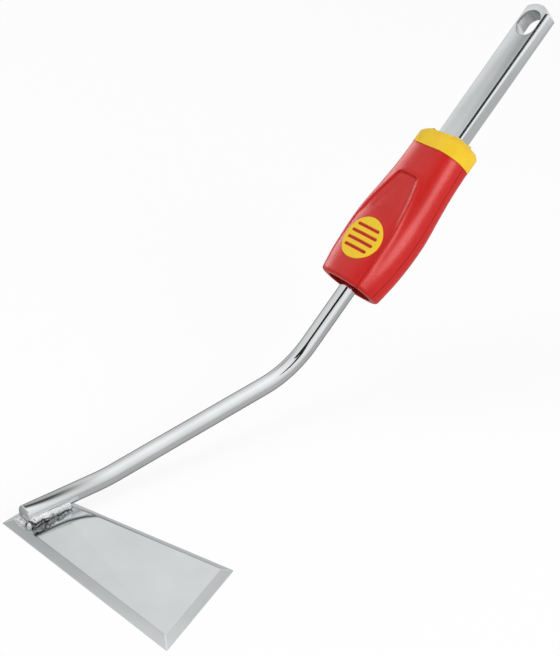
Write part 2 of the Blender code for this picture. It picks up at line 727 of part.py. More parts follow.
def make_screws():
    for number, (x, station) in enumerate(SCREW_PLACES, 1):
        name = f"shell_screw_{number}"
        neck = SCREW_HEAD_TOP + SCREW_HEAD_HEIGHT
        screw = add_object(
            name, cylinder_mesh(name, (x, station, neck - OVERLAP), (x, station, SCREW_TIP),
                                SCREW_RADIUS, 16),
            HANDLE_FRAME, ZINC_STEEL)
        head = add_object(
            name + "_head",
            cylinder_mesh("head", (x, station, SCREW_HEAD_TOP), (x, station, neck),
                          SCREW_HEAD_RADIUS * 0.86, 24, SCREW_HEAD_RADIUS),
            HANDLE_FRAME, cutter=True, smooth=False)
        boolean(screw, head, "UNION")
        arms = ((CROSS_REACH, CROSS_HALF_WIDTH), (CROSS_HALF_WIDTH, CROSS_REACH))
        for turn, (a, b) in enumerate(arms, 1):
            cross = box_cutter(
                f"{name}_cross_{turn}", (x - a, station - b, SCREW_HEAD_TOP - BEYOND),
                (x + a, station + b, SCREW_HEAD_TOP + CROSS_DEPTH), HANDLE_FRAME)
            boolean(screw, cross)


def make_collar(recess):
    """Ring on the shells' end with a domed top, a neck round the recess and a tab at each side."""
    half_width, half_depth = section_at(COLLAR_START)
    rings = []
    for height, inset in COLLAR_PROFILE:
        flat = oval_ring(half_width + COLLAR_PROUD - inset, half_depth + COLLAR_PROUD - inset, 0.0)
        lean = COLLAR_LEAN if height > 0.0 else (0.0, 0.0)
        rings.append([(x, COLLAR_START + height + lean[0] * x + lean[1] * z, z) for x, _, z in flat])
    collar = add_object("collar", loft_mesh("collar", rings), HANDLE_FRAME, YELLOW_PLASTIC)
    neck = box_cutter(
        "neck", (-NECK_HALF_WIDTH, COLLAR_START + WALL, -NECK_BACK),
        (NECK_HALF_WIDTH, COLLAR_START + BEYOND, NECK_FRONT), HANDLE_FRAME, NECK_EDGE_RADIUS)
    top = box_cutter("neck_top", (-BEYOND, 0.0, -BEYOND), (BEYOND, BEYOND, BEYOND), HANDLE_FRAME)
    top.location = (0.0, COLLAR_START + NECK_HEIGHT, 0.0)
    upright, leaning = Vector((0.0, 1.0, 0.0)), Vector((-NECK_LEAN[0], 1.0, -NECK_LEAN[1]))
    top.rotation_euler = upright.rotation_difference(leaning).to_euler()
    boolean(neck, top)
    boolean(collar, neck, "UNION")
    for side in (1, -1):
        low, high = sorted((side * TAB_INNER, side * TAB_OUTER))
        tab = box_cutter(
            f"tab_{'right' if side > 0 else 'left'}", (low, TAB_START, -TAB_HALF_THICKNESS),
            (high, COLLAR_START + WALL, TAB_HALF_THICKNESS), HANDLE_FRAME)
        boolean(collar, tab, "UNION")
    boolean(collar, recess)
    for number in (3, 4):
        x, station = SCREW_PLACES[number - 1]
        hole = round_cutter(
            f"tab_hole_{number}", (x, station, -BEYOND), (x, station, BEYOND),
            SCREW_RADIUS + GAP, HANDLE_FRAME, 16)
        boolean(collar, hole)


def make_button():
    """Tongue cut from the housing's own skin, with its hinge lugs, foot and pad pocket."""
    button = add_object(
        "release_button", housing_loft("release_button", MOUTH, SHELL_END, 0.0, MOUTH_ROUND, 0.0),
        HANDLE_FRAME, RED_PLASTIC)
    under = add_object(
        "under_button", housing_loft("under_button", MOUTH - BEYOND, SHELL_END + BEYOND, BUTTON_WALL),
        HANDLE_FRAME, cutter=True, smooth=False)
    boolean(button, under)
    boolean(button, button_cutter("button_shape", 0.0, BUTTON_LOW), "INTERSECT")
    within = add_object(
        "within_button", housing_loft("within_button", MOUTH, SHELL_END, BUTTON_WALL / 2),
        HANDLE_FRAME, cutter=True, smooth=False)
    for side in (1, -1):
        low, high = sorted((side * LUG_INNER, side * LUG_OUTER))
        label = "right" if side > 0 else "left"
        barrel = round_cutter(
            f"lug_{label}", (low, HINGE_STATION, HINGE_HEIGHT), (high, HINGE_STATION, HINGE_HEIGHT),
            LUG_RADIUS, HANDLE_FRAME, 20)
        web = box_cutter(
            f"lug_web_{label}", (low, HINGE_STATION - LUG_WEB_HALF_LENGTH, HINGE_HEIGHT + OVERLAP),
            (high, HINGE_STATION + LUG_WEB_HALF_LENGTH, BEYOND), HANDLE_FRAME)
        boolean(web, within, "INTERSECT")
        boolean(barrel, web, "UNION")
        boolean(button, barrel, "UNION")
    foot = box_cutter(
        "arm_foot", (-ARM_HALF_WIDTH, FOOT_START, ARM_BOTTOM + ARM_THICKNESS + GAP),
        (ARM_HALF_WIDTH, FOOT_END, BEYOND), HANDLE_FRAME)
    boolean(foot, within, "INTERSECT")
    for number, station in enumerate(RIVET_STATIONS, 1):
        boolean(foot, round_cutter(
            f"rivet_hole_{number}", (0.0, station, 0.0),
            (0.0, station, ARM_BOTTOM - RIVET_HEAD_HEIGHT + RIVET_LENGTH + 2 * GAP),
            RIVET_RADIUS + GAP, HANDLE_FRAME, 16))
    boolean(button, foot, "UNION")
    boolean(button, round_cutter(
        "button_pin_hole", (-BEYOND, HINGE_STATION, HINGE_HEIGHT), (BEYOND, HINGE_STATION, HINGE_HEIGHT),
        HINGE_PIN_RADIUS + GAP, HANDLE_FRAME, 16))
    pocket = pad_cutter("pad_pocket", GAP)
    floor = add_object(
        "pad_floor", housing_loft("pad_floor", MOUTH, SHELL_END, PAD_DEPTH + GAP),
        HANDLE_FRAME, cutter=True, smooth=False)
    boolean(pocket, floor)
    boolean(button, pocket)


def make_pad():
    """Thumb pad let into the button, with grooves across it."""
    pad = add_object(
        "thumb_pad", housing_loft("thumb_pad", MOUTH, SHELL_END, -PAD_RISE), HANDLE_FRAME, YELLOW_PLASTIC)
    under = add_object(
        "under_pad", housing_loft("under_pad", MOUTH - BEYOND, SHELL_END + BEYOND, PAD_DEPTH),
        HANDLE_FRAME, cutter=True, smooth=False)
    boolean(pad, under)
    boolean(pad, pad_cutter("pad_shape", 0.0), "INTERSECT")
    lowered = housing_loft("groove_floor", MOUTH, SHELL_END, PAD_GROOVE_DEPTH - PAD_RISE)
    floor = add_object("groove_floor", lowered, HANDLE_FRAME, cutter=True, smooth=False)
    for i in range(PAD_GROOVES):
        middle = PAD_STATION + (i - (PAD_GROOVES - 1) / 2) * PAD_GROOVE_PITCH
        reach = math.sqrt(PAD_RADIUS**2 - (middle - PAD_STATION) ** 2) * 0.74
        groove = box_cutter(
            f"pad_groove_{i + 1}", (-reach, middle - PAD_GROOVE_WIDTH / 2, 0.0),
            (reach, middle + PAD_GROOVE_WIDTH / 2, BEYOND), HANDLE_FRAME)
        boolean(groove, floor)
        boolean(pad, groove)


def make_latch():
    """Spring-steel arm with a ramped nose, and the rivets that hold it to the button."""
    top = ARM_BOTTOM + ARM_THICKNESS
    side = [
        (ARM_START, ARM_BOTTOM), (ARM_END, ARM_BOTTOM), (ARM_END, top),
        (ARM_END - NOSE_LENGTH * 0.35, top + NOSE_RISE), (ARM_END - NOSE_LENGTH, top + NOSE_RISE),
        (ARM_END - NOSE_LENGTH, top), (ARM_START, top),
    ]
    bm = bmesh.new()
    face = bm.faces.new([bm.verts.new((-ARM_HALF_WIDTH, y, z)) for y, z in side])
    raised = bmesh.ops.extrude_face_region(bm, geom=[face])
    moved = [v for v in raised["geom"] if isinstance(v, bmesh.types.BMVert)]
    bmesh.ops.translate(bm, vec=(2 * ARM_HALF_WIDTH, 0.0, 0.0), verts=moved)
    arm = add_object("latch_arm", mesh_from("latch_arm", bm), HANDLE_FRAME, ZINC_STEEL)
    for number, station in enumerate(RIVET_STATIONS, 1):
        boolean(arm, round_cutter(
            f"arm_hole_{number}", (0.0, station, 0.0), (0.0, station, BEYOND),
            RIVET_RADIUS + GAP, HANDLE_FRAME, 16))
        name = f"latch_rivet_{number}"
        head_top = ARM_BOTTOM - GAP
        head_low = head_top - RIVET_HEAD_HEIGHT
        rivet = add_object(
            name, cylinder_mesh(name, (0.0, station, head_low), (0.0, station, head_top),
                                RIVET_HEAD_RADIUS, 20),
            HANDLE_FRAME, ZINC_STEEL)
        shank = round_cutter(
            name + "_shank", (0.0, station, head_top - OVERLAP), (0.0, station, head_low + RIVET_LENGTH),
            RIVET_RADIUS, HANDLE_FRAME, 16)
        boolean(rivet, shank, "UNION")


def make_hinge_pin():
    name = "hinge_pin"
    half = HINGE_PIN_LENGTH / 2
    add_object(
        name, cylinder_mesh(name, (-half, HINGE_STATION, HINGE_HEIGHT), (half, HINGE_STATION, HINGE_HEIGHT),
                            HINGE_PIN_RADIUS, 16),
        HANDLE_FRAME, ZINC_STEEL)


def make_spring():
    """Helix between the tang's front face and the underside of the button."""
    low = TANG_THICKNESS / 2 + GAP + SPRING_WIRE
    high = section_at(SPRING_STATION)[1] - BUTTON_WALL - 2 * GAP - SPRING_WIRE
    count = SPRING_TURNS * SPRING_CURL_POINTS
    angles = np.arange(count + 1) * 2 * math.pi / SPRING_CURL_POINTS
    rise = (high - low) / count
    helix = [(SPRING_RADIUS * math.cos(a), SPRING_STATION + SPRING_RADIUS * math.sin(a), low + rise * i)
             for i, a in enumerate(angles)]
    add_object("return_spring", tube_mesh("return_spring", helix, SPRING_WIRE, 1), HANDLE_FRAME, ZINC_STEEL)
    points = np.array(helix)
    apart = np.linalg.norm(points[:, None] - points[None], axis=2)
    far = np.abs(np.arange(count + 1)[:, None] - np.arange(count + 1)[None]) > SPRING_CURL_POINTS // 2
    least = float(apart[far].min() - 2 * SPRING_WIRE) * 1000
    print("return_spring least gap to itself, mm:", round(least, 3))


def main():
    rod_hole, tang_hole = make_cross_pins()
    make_blade()
    make_rod(rod_hole)
    make_welds()
    make_tang(tang_hole)
    make_block(rod_hole, tang_hole)
    recess = make_shells()
    make_screws()
    make_collar(recess)
    make_button()
    make_pad()
    make_latch()
    make_hinge_pin()
    make_spring()
    bpy.context.view_layer.update()


main()
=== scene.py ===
import json
import math

import bmesh
import bpy
import numpy as np
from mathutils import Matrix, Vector


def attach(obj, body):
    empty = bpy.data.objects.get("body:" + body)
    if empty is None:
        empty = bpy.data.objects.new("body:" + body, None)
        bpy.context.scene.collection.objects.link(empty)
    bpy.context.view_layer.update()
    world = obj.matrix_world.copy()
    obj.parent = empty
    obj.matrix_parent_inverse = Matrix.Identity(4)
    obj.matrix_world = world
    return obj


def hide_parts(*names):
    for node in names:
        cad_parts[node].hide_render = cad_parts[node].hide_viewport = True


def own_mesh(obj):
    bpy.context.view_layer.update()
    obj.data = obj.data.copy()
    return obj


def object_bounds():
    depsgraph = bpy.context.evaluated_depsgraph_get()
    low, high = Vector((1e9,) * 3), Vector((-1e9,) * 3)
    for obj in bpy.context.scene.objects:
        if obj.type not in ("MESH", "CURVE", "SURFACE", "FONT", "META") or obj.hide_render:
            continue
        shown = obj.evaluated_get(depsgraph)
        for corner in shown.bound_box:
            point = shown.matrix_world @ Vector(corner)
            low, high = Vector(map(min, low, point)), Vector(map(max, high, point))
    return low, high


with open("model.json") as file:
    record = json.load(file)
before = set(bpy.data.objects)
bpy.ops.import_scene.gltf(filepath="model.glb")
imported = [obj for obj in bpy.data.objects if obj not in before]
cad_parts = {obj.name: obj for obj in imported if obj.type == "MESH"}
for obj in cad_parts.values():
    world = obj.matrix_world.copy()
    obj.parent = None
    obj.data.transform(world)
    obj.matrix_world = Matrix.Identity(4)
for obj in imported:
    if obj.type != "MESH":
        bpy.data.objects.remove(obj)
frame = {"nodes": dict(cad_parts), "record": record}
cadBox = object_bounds()
print("frame loaded:", len(frame["nodes"]), "nodes")

# Camera: where the photograph was taken from, worked out from the blade's and the grip's edges
camera = {
    "target": (-0.0010, -0.1119, -0.0632),
    "azimuth": 50.0,  # degrees from -Y towards +X
    "elevation": 30.5,
    "distance": 0.983,
    "lens": 115.46,
    "film": 36.0,  # width, in millimetres as the lens
    "farClip": 20.0,
}

# Handle: where the rod bends, and how steeply the handle rises; foot: the rod's end above the blade
handle = {"bend": (0.0, -0.105391, -0.092914), "rise": 41.4}
foot = {"end": (0.0, -0.282391, -0.108222), "rodRadius": 0.0050, "gap": 0.0003}
handleRise = math.radians(handle["rise"])
handleAxis = np.array((0.0, math.cos(handleRise), math.sin(handleRise)))
frontAxis = np.array((0.0, -math.sin(handleRise), math.cos(handleRise)))
acrossAxis = np.array((1.0, 0.0, 0.0))
bendPoint = np.array(handle["bend"])
footPoint = np.array(foot["end"])
bladeTop = footPoint - np.array((0.0, 0.0, foot["rodRadius"] + foot["gap"]))


def placeCamera():
    # stands off the target by the distance, in the direction that azimuth and elevation give, and looks back
    turn, lift = math.radians(camera["azimuth"]), math.radians(camera["elevation"])
    view = np.array((math.sin(turn) * math.cos(lift), -math.cos(turn) * math.cos(lift), math.sin(lift)))
    data = bpy.data.cameras.new("camera")
    data.sensor_fit = "HORIZONTAL"
    data.sensor_width = camera["film"]
    data.lens = camera["lens"]
    data.clip_end = camera["farClip"]
    holder = bpy.data.objects.new("camera", data)
    bpy.context.scene.collection.objects.link(holder)
    holder.location = np.array(camera["target"]) + view * camera["distance"]
    holder.rotation_euler = (math.pi / 2 - lift, 0.0, turn)
    bpy.context.scene.camera = holder


placeCamera()
print("camera placed")


# Making meshes

meshing = {"merge": 0.000002, "sharp": 35.0}  # distance between doubles; degrees past which an edge is sharp
pieces = []  # each new piece with its finish


def fit(piece, body, slot, node=None, finish=None):
    # the piece rides on the body, stands for the node and shows the slot's finish or one of its own
    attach(piece, body)
    if node:
        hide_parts(node)
    pieces.append((piece, finish or slot))


def circle(count):
    # equal steps once round, in radians
    return np.arange(count) * 2 * math.pi / count


def grid(*parts):
    # coordinates spread over one another, as points
    return np.stack(np.broadcast_arrays(*parts), -1)


def sphere(rows, columns, pole):
    # unit ball: tilts from near one pole to near the other, turns all round
    tilt, turn = np.linspace(pole, math.pi - pole, rows)[:, None], circle(columns)
    return grid(np.sin(tilt) * np.cos(turn), np.sin(tilt) * np.sin(turn), np.cos(tilt))


def smoothStep(t):
    # 3 t^2 - 2 t^3 between 0 and 1
    t = np.clip(t, 0.0, 1.0)
    return t * t * (3 - 2 * t)


def rising(value, run):
    # 0 up to the run's start, 1 past its length
    return smoothStep((value - run[0]) / run[1])


def falling(value, run):
    # 0 past the run's start, 1 when lower by its length
    return smoothStep((run[0] - value) / run[1])


def arcAt(before, corner, after, radius, count):
    # arc in place of a corner: it touches both straights, and its points turn round its middle in equal steps
    into = (before - corner) / np.linalg.norm(before - corner)
    away = (after - corner) / np.linalg.norm(after - corner)
    half = math.acos(float(into @ away)) / 2
    middle = corner + (into + away) / np.linalg.norm(into + away) * radius / math.sin(half)
    start = corner + into * radius / math.tan(half) - middle
    end = corner + away * radius / math.tan(half) - middle
    sweep = math.pi - 2 * half
    t = np.linspace(0.0, 1.0, count)[:, None]
    return middle + (start * np.sin((1 - t) * sweep) + end * np.sin(t * sweep)) / math.sin(sweep)


def onHandle(x, s, n):
    # bend + x across + s along the handle + n towards its front
    x, s, n = np.broadcast_arrays(x, s, n)
    return bendPoint + x[..., None] * acrossAxis + s[..., None] * handleAxis + n[..., None] * frontAxis


def finishMesh(mesh, sharp=meshing["sharp"]):
    # doubles merged, faces outwards, smooth but for edges sharper than the angle
    work = bmesh.new()
    work.from_mesh(mesh)
    bmesh.ops.remove_doubles(work, verts=work.verts, dist=meshing["merge"])
    bmesh.ops.recalc_face_normals(work, faces=work.faces)
    work.to_mesh(mesh)
    work.free()
    mesh.shade_smooth()
    mesh.set_sharp_from_angle(angle=math.radians(sharp))


def newPiece(name, points, faces, sharp=meshing["sharp"]):
    mesh = bpy.data.meshes.new(name)
    mesh.from_pydata(points.tolist(), [], faces)
    piece = bpy.data.objects.new(name, mesh)
    bpy.context.scene.collection.objects.link(piece)
    finishMesh(mesh, sharp)
    return piece


def sheetFaces(rows, columns, around):
    # quads between neighbouring points of a grid; around joins the last column to the first
    r, c = np.meshgrid(np.arange(rows - 1), np.arange(columns if around else columns - 1), indexing="ij")
    after = (c + 1) % columns
    low, high = r * columns, (r + 1) * columns
    return np.stack((low + c, low + after, high + after, high + c), -1).reshape(-1, 4)


def newLoft(name, rings, closed, sharp=meshing["sharp"]):
    # rings (rows, columns, 3), columns always closed; rows joined end to end where closed, else capped
    rows, columns = rings.shape[:2]
    points = rings.reshape(-1, 3)
    if closed:
        faces = sheetFaces(rows + 1, columns, True) % (rows * columns)
        return newPiece(name, points, faces.tolist(), sharp)
    faces = sheetFaces(rows, columns, True).tolist()
    faces.append(list(range(columns)))
    faces.append(list(range((rows - 1) * columns, rows * columns)))
    return newPiece(name, points, faces, sharp)


def prism(name, outline, low, high):
    # outline (points, 2) in x and s, raised from one height above the axis to another
    rings = [onHandle(outline[:, 0], outline[:, 1], np.full(len(outline), n)) for n in (low, high)]
    return newLoft(name, np.stack(rings), False)


def cut(piece, cutter, operation="DIFFERENCE"):
    # exact Boolean, applied at once, and its cutter removed
    change = piece.modifiers.new("cut", "BOOLEAN")
    change.operation = operation
    change.solver = "EXACT"
    change.object = cutter
    bpy.context.view_layer.update()
    shaped = bpy.data.meshes.new_from_object(piece.evaluated_get(bpy.context.evaluated_depsgraph_get()))
    piece.modifiers.remove(change)
    piece.data = shaped
    bpy.data.objects.remove(cutter, do_unlink=True)


# Housing: two shells and the tongue, all cut from one form

housing = {
    "mouth": 0.0575, "end": 0.1472,  # along the handle from the bend
    "sections": (  # distance from the mouth, half width, half depth
        (0.0, 0.01815, 0.01555), (0.0145, 0.0211, 0.01585), (0.0285, 0.02255, 0.0159),
        (0.0415, 0.0227, 0.0156), (0.06, 0.021, 0.01415), (0.0735, 0.0196, 0.01365), (0.09, 0.0186, 0.0139),
    ),
    "power": 2.5,
    "wall": 0.0024, "lip": 0.0042,  # walls within and at the mouth
    "lipLength": 0.0030, "lipZone": 0.0075,  # length of the lip, and of the stretch with finer rows
    "innerRows": 24, "lipRows": 16, "roundRows": 7,
    "mouthRound": 0.0018, "endRound": 0.0005,
    "seamGap": 0.00036,
    "points": 288, "step": 0.0005,
    "reliefLow": 0.003,  # height above the axis at which the front's relief starts
    "shareTop": 0.999,  # of the half width, past which the skin's height stays the same
}
tongue = {
    "halfWidth": 0.0148, "mouthHalfWidth": 0.0130, "tipHalfWidth": 0.0068,
    "below": 0.006,  # how far the outline reaches past the mouth
    "wideStart": 0.0680, "taperStart": 0.0870, "tip": 0.1272, "power": 1.7, "tipRound": 0.0030,
    "taperPoints": 25, "roundPoints": 12,
    "gap": 0.00025, "wall": 0.0022, "low": 0.0099, "openingLow": 0.0090,
    "ridge": 0.0008, "ridgeAway": 0.0010, "ridgeWidth": 0.0013, "ridgeInner": 0.0007,
    "ridgeAtMouth": 0.62, "ridgeRise": (0.078, 0.030),  # each pair: start and run of a smooth step
    "step": 0.0005, "stepEdge": (0.0002, 0.0011), "stepStart": (0.0930, 0.008),
    "dish": 0.0007, "dishEdge": 0.0060, "dishStart": (0.0975, 0.008), "dishEnd": (0.1262, 0.010),
}
screws = {"places": ((0.0150, 0.0760), (-0.0150, 0.0760), (0.0141, 0.1440), (-0.0141, 0.1440)),
          "hole": 0.0029, "seatTop": -0.004, "sides": 64}
cutters = {"beyond": 0.04, "start": 0.04, "end": 0.17}  # past the housing on every side
pad = {
    "radius": 0.0131, "station": 0.0828, "rise": 0.0003, "depth": 0.0009, "fit": 0.00012,
    "rim": 0.0016, "dish": 0.00045, "dishRun": 0.0016, "dishInner": (0.35, 0.006),
    "flat": 0.955, "edgeDrop": 0.0004,  # share of the radius at which the edge rounds off
    "grooves": 4, "groovePitch": 0.0045, "grooveHalf": 0.0009, "grooveDepth": 0.00062, "grooveReach": 0.76,
    "grooveEdge": (1.12, 0.3),
    "points": 180, "rows": 90, "edgeRows": 8, "edgeFirst": 0.1, "first": 0.012, "under": 0.5, "sharp": 50.0,
    "pocketPoints": 96, "pocketRows": (0.02, 0.25, 0.5, 0.75, 1.0), "pocketTop": 0.03,
}


def sectionAt(station):
    # half width and half depth: cubic curves through the sections
    table = np.array(housing["sections"])
    at = table[:, 0] + housing["mouth"]
    slopes = np.gradient(table[:, 1:], at, axis=0)
    i = np.clip(np.searchsorted(at, station) - 1, 0, len(at) - 2)
    span = (at[i + 1] - at[i])[..., None]
    t = np.clip((station - at[i])[..., None] / span, 0.0, 1.0)
    return ((2 * t**3 - 3 * t**2 + 1) * table[i, 1:] + (t**3 - 2 * t**2 + t) * span * slopes[i]
            + (3 * t**2 - 2 * t**3) * table[i + 1, 1:] + (t**3 - t**2) * span * slopes[i + 1])


def oval(halfWidth, halfDepth, angles):
    # superellipse: x = a |cos|^(2/p), n = b |sin|^(2/p), with their signs
    power = 2 / housing["power"]
    c, s = np.cos(angles), np.sin(angles)
    return halfWidth * np.sign(c) * np.abs(c) ** power, halfDepth * np.sign(s) * np.abs(s) ** power


def skinHeight(x, s):
    # height of the housing's front above the axis over a point: b (1 - |x / a|^p)^(1/p)
    half = sectionAt(s)
    share = np.minimum(np.abs(x / half[..., 0]), housing["shareTop"])
    return half[..., 1] * (1 - share ** housing["power"]) ** (1 / housing["power"])


def tongueOutline(grow=0.0):
    # right side from below the mouth: two straights, a taper as t^power and a quarter round; then its mirror
    size = tongue
    last = size["tip"] - size["tipRound"]
    taper = np.linspace(size["taperStart"], last, size["taperPoints"])[1:]
    t = (taper - size["taperStart"]) / (size["tip"] - size["taperStart"])
    x = size["halfWidth"] - (size["halfWidth"] - size["tipHalfWidth"]) * t ** size["power"]
    start = (size["mouthHalfWidth"], housing["mouth"] - size["below"])
    straight = ((size["halfWidth"], size["wideStart"]), (size["halfWidth"], size["taperStart"]))
    side = np.concatenate(((start, *straight), np.column_stack((x, taper))))
    side[:, 0] += grow
    angle = np.linspace(0.0, math.pi / 2, size["roundPoints"])[1:]
    radius = size["tipRound"] + grow
    corner = side[-1, 0] - radius
    arc = np.column_stack((corner + radius * np.cos(angle), last + radius * np.sin(angle)))
    right = np.concatenate((side, arc))
    left = right[::-1] * (-1.0, 1.0)
    return np.concatenate((right, left))


def distanceTo(outline, x, s):
    # distance to the nearest edge of a closed outline, below 0 inside, which crossings of a ray tell
    start, end = outline, np.roll(outline, -1, axis=0)
    run = end - start
    point = np.stack((x.ravel(), s.ravel()), -1)
    away = point[:, None] - start[None]
    t = np.clip((away * run).sum(-1) / (run * run).sum(-1), 0.0, 1.0)
    near = np.linalg.norm(away - t[..., None] * run, axis=-1).min(axis=1)
    crosses = (start[:, 1] > point[:, 1, None]) != (end[:, 1] > point[:, 1, None])
    rise = np.where(run[:, 1] == 0.0, 1.0, run[:, 1])
    at = start[:, 0] + (point[:, 1, None] - start[:, 1]) * run[:, 0] / rise
    inside = (crosses & (point[:, 0, None] < at)).sum(axis=1) % 2 == 1
    return np.where(inside, -near, near).reshape(x.shape)


def housingRelief(x, s, front):
    # bell-shaped border round the tongue, steeper on its inner side and lower towards the mouth; within it a
    # small step down and a dish, both faded in and out along the handle
    size = tongue
    away = distanceTo(tongueOutline(), x, s)
    fade = size["ridgeAtMouth"] + (1 - size["ridgeAtMouth"]) * rising(s, size["ridgeRise"])
    width = np.where(away > size["ridgeAway"], size["ridgeWidth"], size["ridgeInner"])
    ridge = size["ridge"] * np.exp(-((away - size["ridgeAway"]) / width) ** 2) * fade
    sunk = size["step"] * falling(away, size["stepEdge"]) * rising(s, size["stepStart"])
    dish = size["dish"] * smoothStep(-away / size["dishEdge"])
    dish = dish * rising(s, size["dishStart"]) * falling(s, size["dishEnd"])
    return np.where(front, ridge - sunk - dish, 0.0)


def roundInset(depth, radius):
    # how far a rounded edge lies inside its face: r - sqrt(r^2 - (r - depth)^2), and 0 past the radius
    return radius - np.sqrt(np.maximum(0.0, radius**2 - np.maximum(0.0, radius - depth) ** 2))


def housingTube(name, wall, endRound=0.0):
    # superellipse rings from mouth to end with rounded edges, and back inside with a wall that thickens to a
    # lip at the mouth, as one closed sheet; the relief is added along the rings' normals
    mouth, end, step = housing["mouth"], housing["end"], housing["step"]
    mouthRound, zone = housing["mouthRound"], housing["lipZone"]
    bow = np.linspace(0.0, math.pi / 2, housing["roundRows"])
    outer = np.concatenate((mouth + mouthRound * (1 - np.cos(bow)),
                            np.arange(mouth + mouthRound + step, end - endRound, step),
                            end - endRound * (1 - np.sin(bow))))
    inner = np.concatenate((np.linspace(end, mouth + zone + step, housing["innerRows"]),
                            np.linspace(mouth + zone, mouth, housing["lipRows"])))
    edges = np.maximum(roundInset(outer - mouth, mouthRound), roundInset(end - outer, endRound))
    lip = falling(inner, (mouth + 2 * housing["lipLength"], housing["lipLength"]))
    insets = np.concatenate((edges, wall + (housing["lip"] - wall) * lip))
    stations = np.concatenate((outer, inner))
    sizes = sectionAt(stations) - insets[:, None]
    x, n = oval(sizes[:, :1], sizes[:, 1:], circle(housing["points"])[None])
    s = np.broadcast_to(stations[:, None], x.shape)
    onSkin = (np.arange(len(stations)) < len(outer))[:, None]
    relief = housingRelief(x, s, (n > housing["reliefLow"]) & onSkin)
    normalX, normalN = x / sizes[:, :1] ** 2, n / sizes[:, 1:] ** 2
    relief = relief / np.hypot(normalX, normalN)
    return newLoft(name, onHandle(x + relief * normalX, s, n + relief * normalN), True)


def halfBox(name, low, high):
    # block across the whole housing between two heights above the axis
    side, start, end = cutters["beyond"], cutters["start"], cutters["end"]
    return prism(name, np.array(((-side, start), (side, start), (side, end), (-side, end))), low, high)


def screwSeat(x, s):
    # cylinder from behind the housing up to the seat's top
    angles = circle(screws["sides"])
    outline = np.column_stack((x + screws["hole"] * np.cos(angles), s + screws["hole"] * np.sin(angles)))
    return prism("seat", outline, -cutters["beyond"], screws["seatTop"])


def padPocket():
    # cutter under the pad: a disc that follows the housing's front at a depth below it
    turn, share = circle(pad["pocketPoints"]), np.array(pad["pocketRows"])[:, None]
    radius = pad["radius"] + pad["fit"]
    x, s = share * radius * np.cos(turn), pad["station"] + share * radius * np.sin(turn)
    low = onHandle(x, s, skinHeight(x, s) - pad["depth"] - pad["fit"])
    high = onHandle(x[-1:], s[-1:], np.full_like(x[-1:], pad["pocketTop"]))
    return newLoft("pad pocket", np.concatenate((low, high)), False)


def makeHousing():
    # the tube cut in halves at the seam, the front open for the tongue and the back for the screws; the
    # tongue is cut from a tube of its own
    seam, beyond = housing["seamGap"] / 2, cutters["beyond"]
    front = housingTube("grip_front", housing["wall"], housing["endRound"])
    cut(front, halfBox("front half", seam, beyond), "INTERSECT")
    cut(front, prism("opening", tongueOutline(tongue["gap"]), tongue["openingLow"], beyond))
    back = housingTube("grip_back", housing["wall"], housing["endRound"])
    cut(back, halfBox("back half", -beyond, -seam), "INTERSECT")
    for x, s in screws["places"]:
        cut(back, screwSeat(x, s))
    face = housingTube("grip_tongue", tongue["wall"])
    cut(face, prism("tongue shape", tongueOutline(), tongue["low"], beyond), "INTERSECT")
    cut(face, padPocket())
    for piece, body, node in ((front, "head", "front_shell"), (back, "head", "back_shell"),
                              (face, "button", "release_button")):
        finishMesh(piece.data)
        fit(piece, body, "red_plastic", node)
    return front, back, face


redPieces = makeHousing()
print("housing made")


# Collar: ring, domed top, neck and recess

collar = {
    "start": 0.14725, "proud": 0.0002, "points": 192,
    "profile": (  # height and inset of the ring's side and of the dome on it
        (0.0, 0.0), (0.0075, 0.0), (0.0082, 0.00012), (0.0086, 0.0004), (0.0095, 0.001), (0.0105, 0.002),
        (0.0113, 0.003), (0.0122, 0.0043), (0.0128, 0.0053),
    ),
    "ringRows": 6,  # rows of the profile before the neck starts
    "lean": (0.041, -0.036),  # rise of the dome across and towards the front
    "neck": (0.0110, 0.0129, 0.0092, 0.0050),  # half width, front, back, corner radius
    "neckShift": -0.0014, "neckHeight": 0.0126, "neckLean": (0.113, -0.200),
    "neckFoot": (0.0012, 0.0006), "neckRows": (0.25, 0.6, 1.0), "neckEase": (0.0005, 0.00018, 0.00012),
    "recess": (0.0090, 0.0114, 0.0078, 0.0025), "recessEase": 0.0004, "floor": 0.152,
    "rayLength": 0.03, "raySteps": 3001, "sharp": 40.0,
}


def roundedBox(size, angles, grow=0.0):
    # where a ray at each angle leaves a box with round corners that may reach further to the front than back
    halfWidth, front, back, radius = (value + grow for value in size)
    middle, halfDepth = (front - back) / 2, (front + back) / 2
    dx, dn = np.cos(angles), np.sin(angles)
    reach = np.linspace(0.0, collar["rayLength"], collar["raySteps"])[:, None]
    qx = np.abs(reach * dx) - (halfWidth - radius)
    qn = np.abs(reach * dn - middle) - (halfDepth - radius)
    out = np.hypot(np.maximum(qx, 0), np.maximum(qn, 0)) + np.minimum(np.maximum(qx, qn), 0) - radius
    r = reach[(out < 0).sum(axis=0), 0]
    return r * dx, r * dn


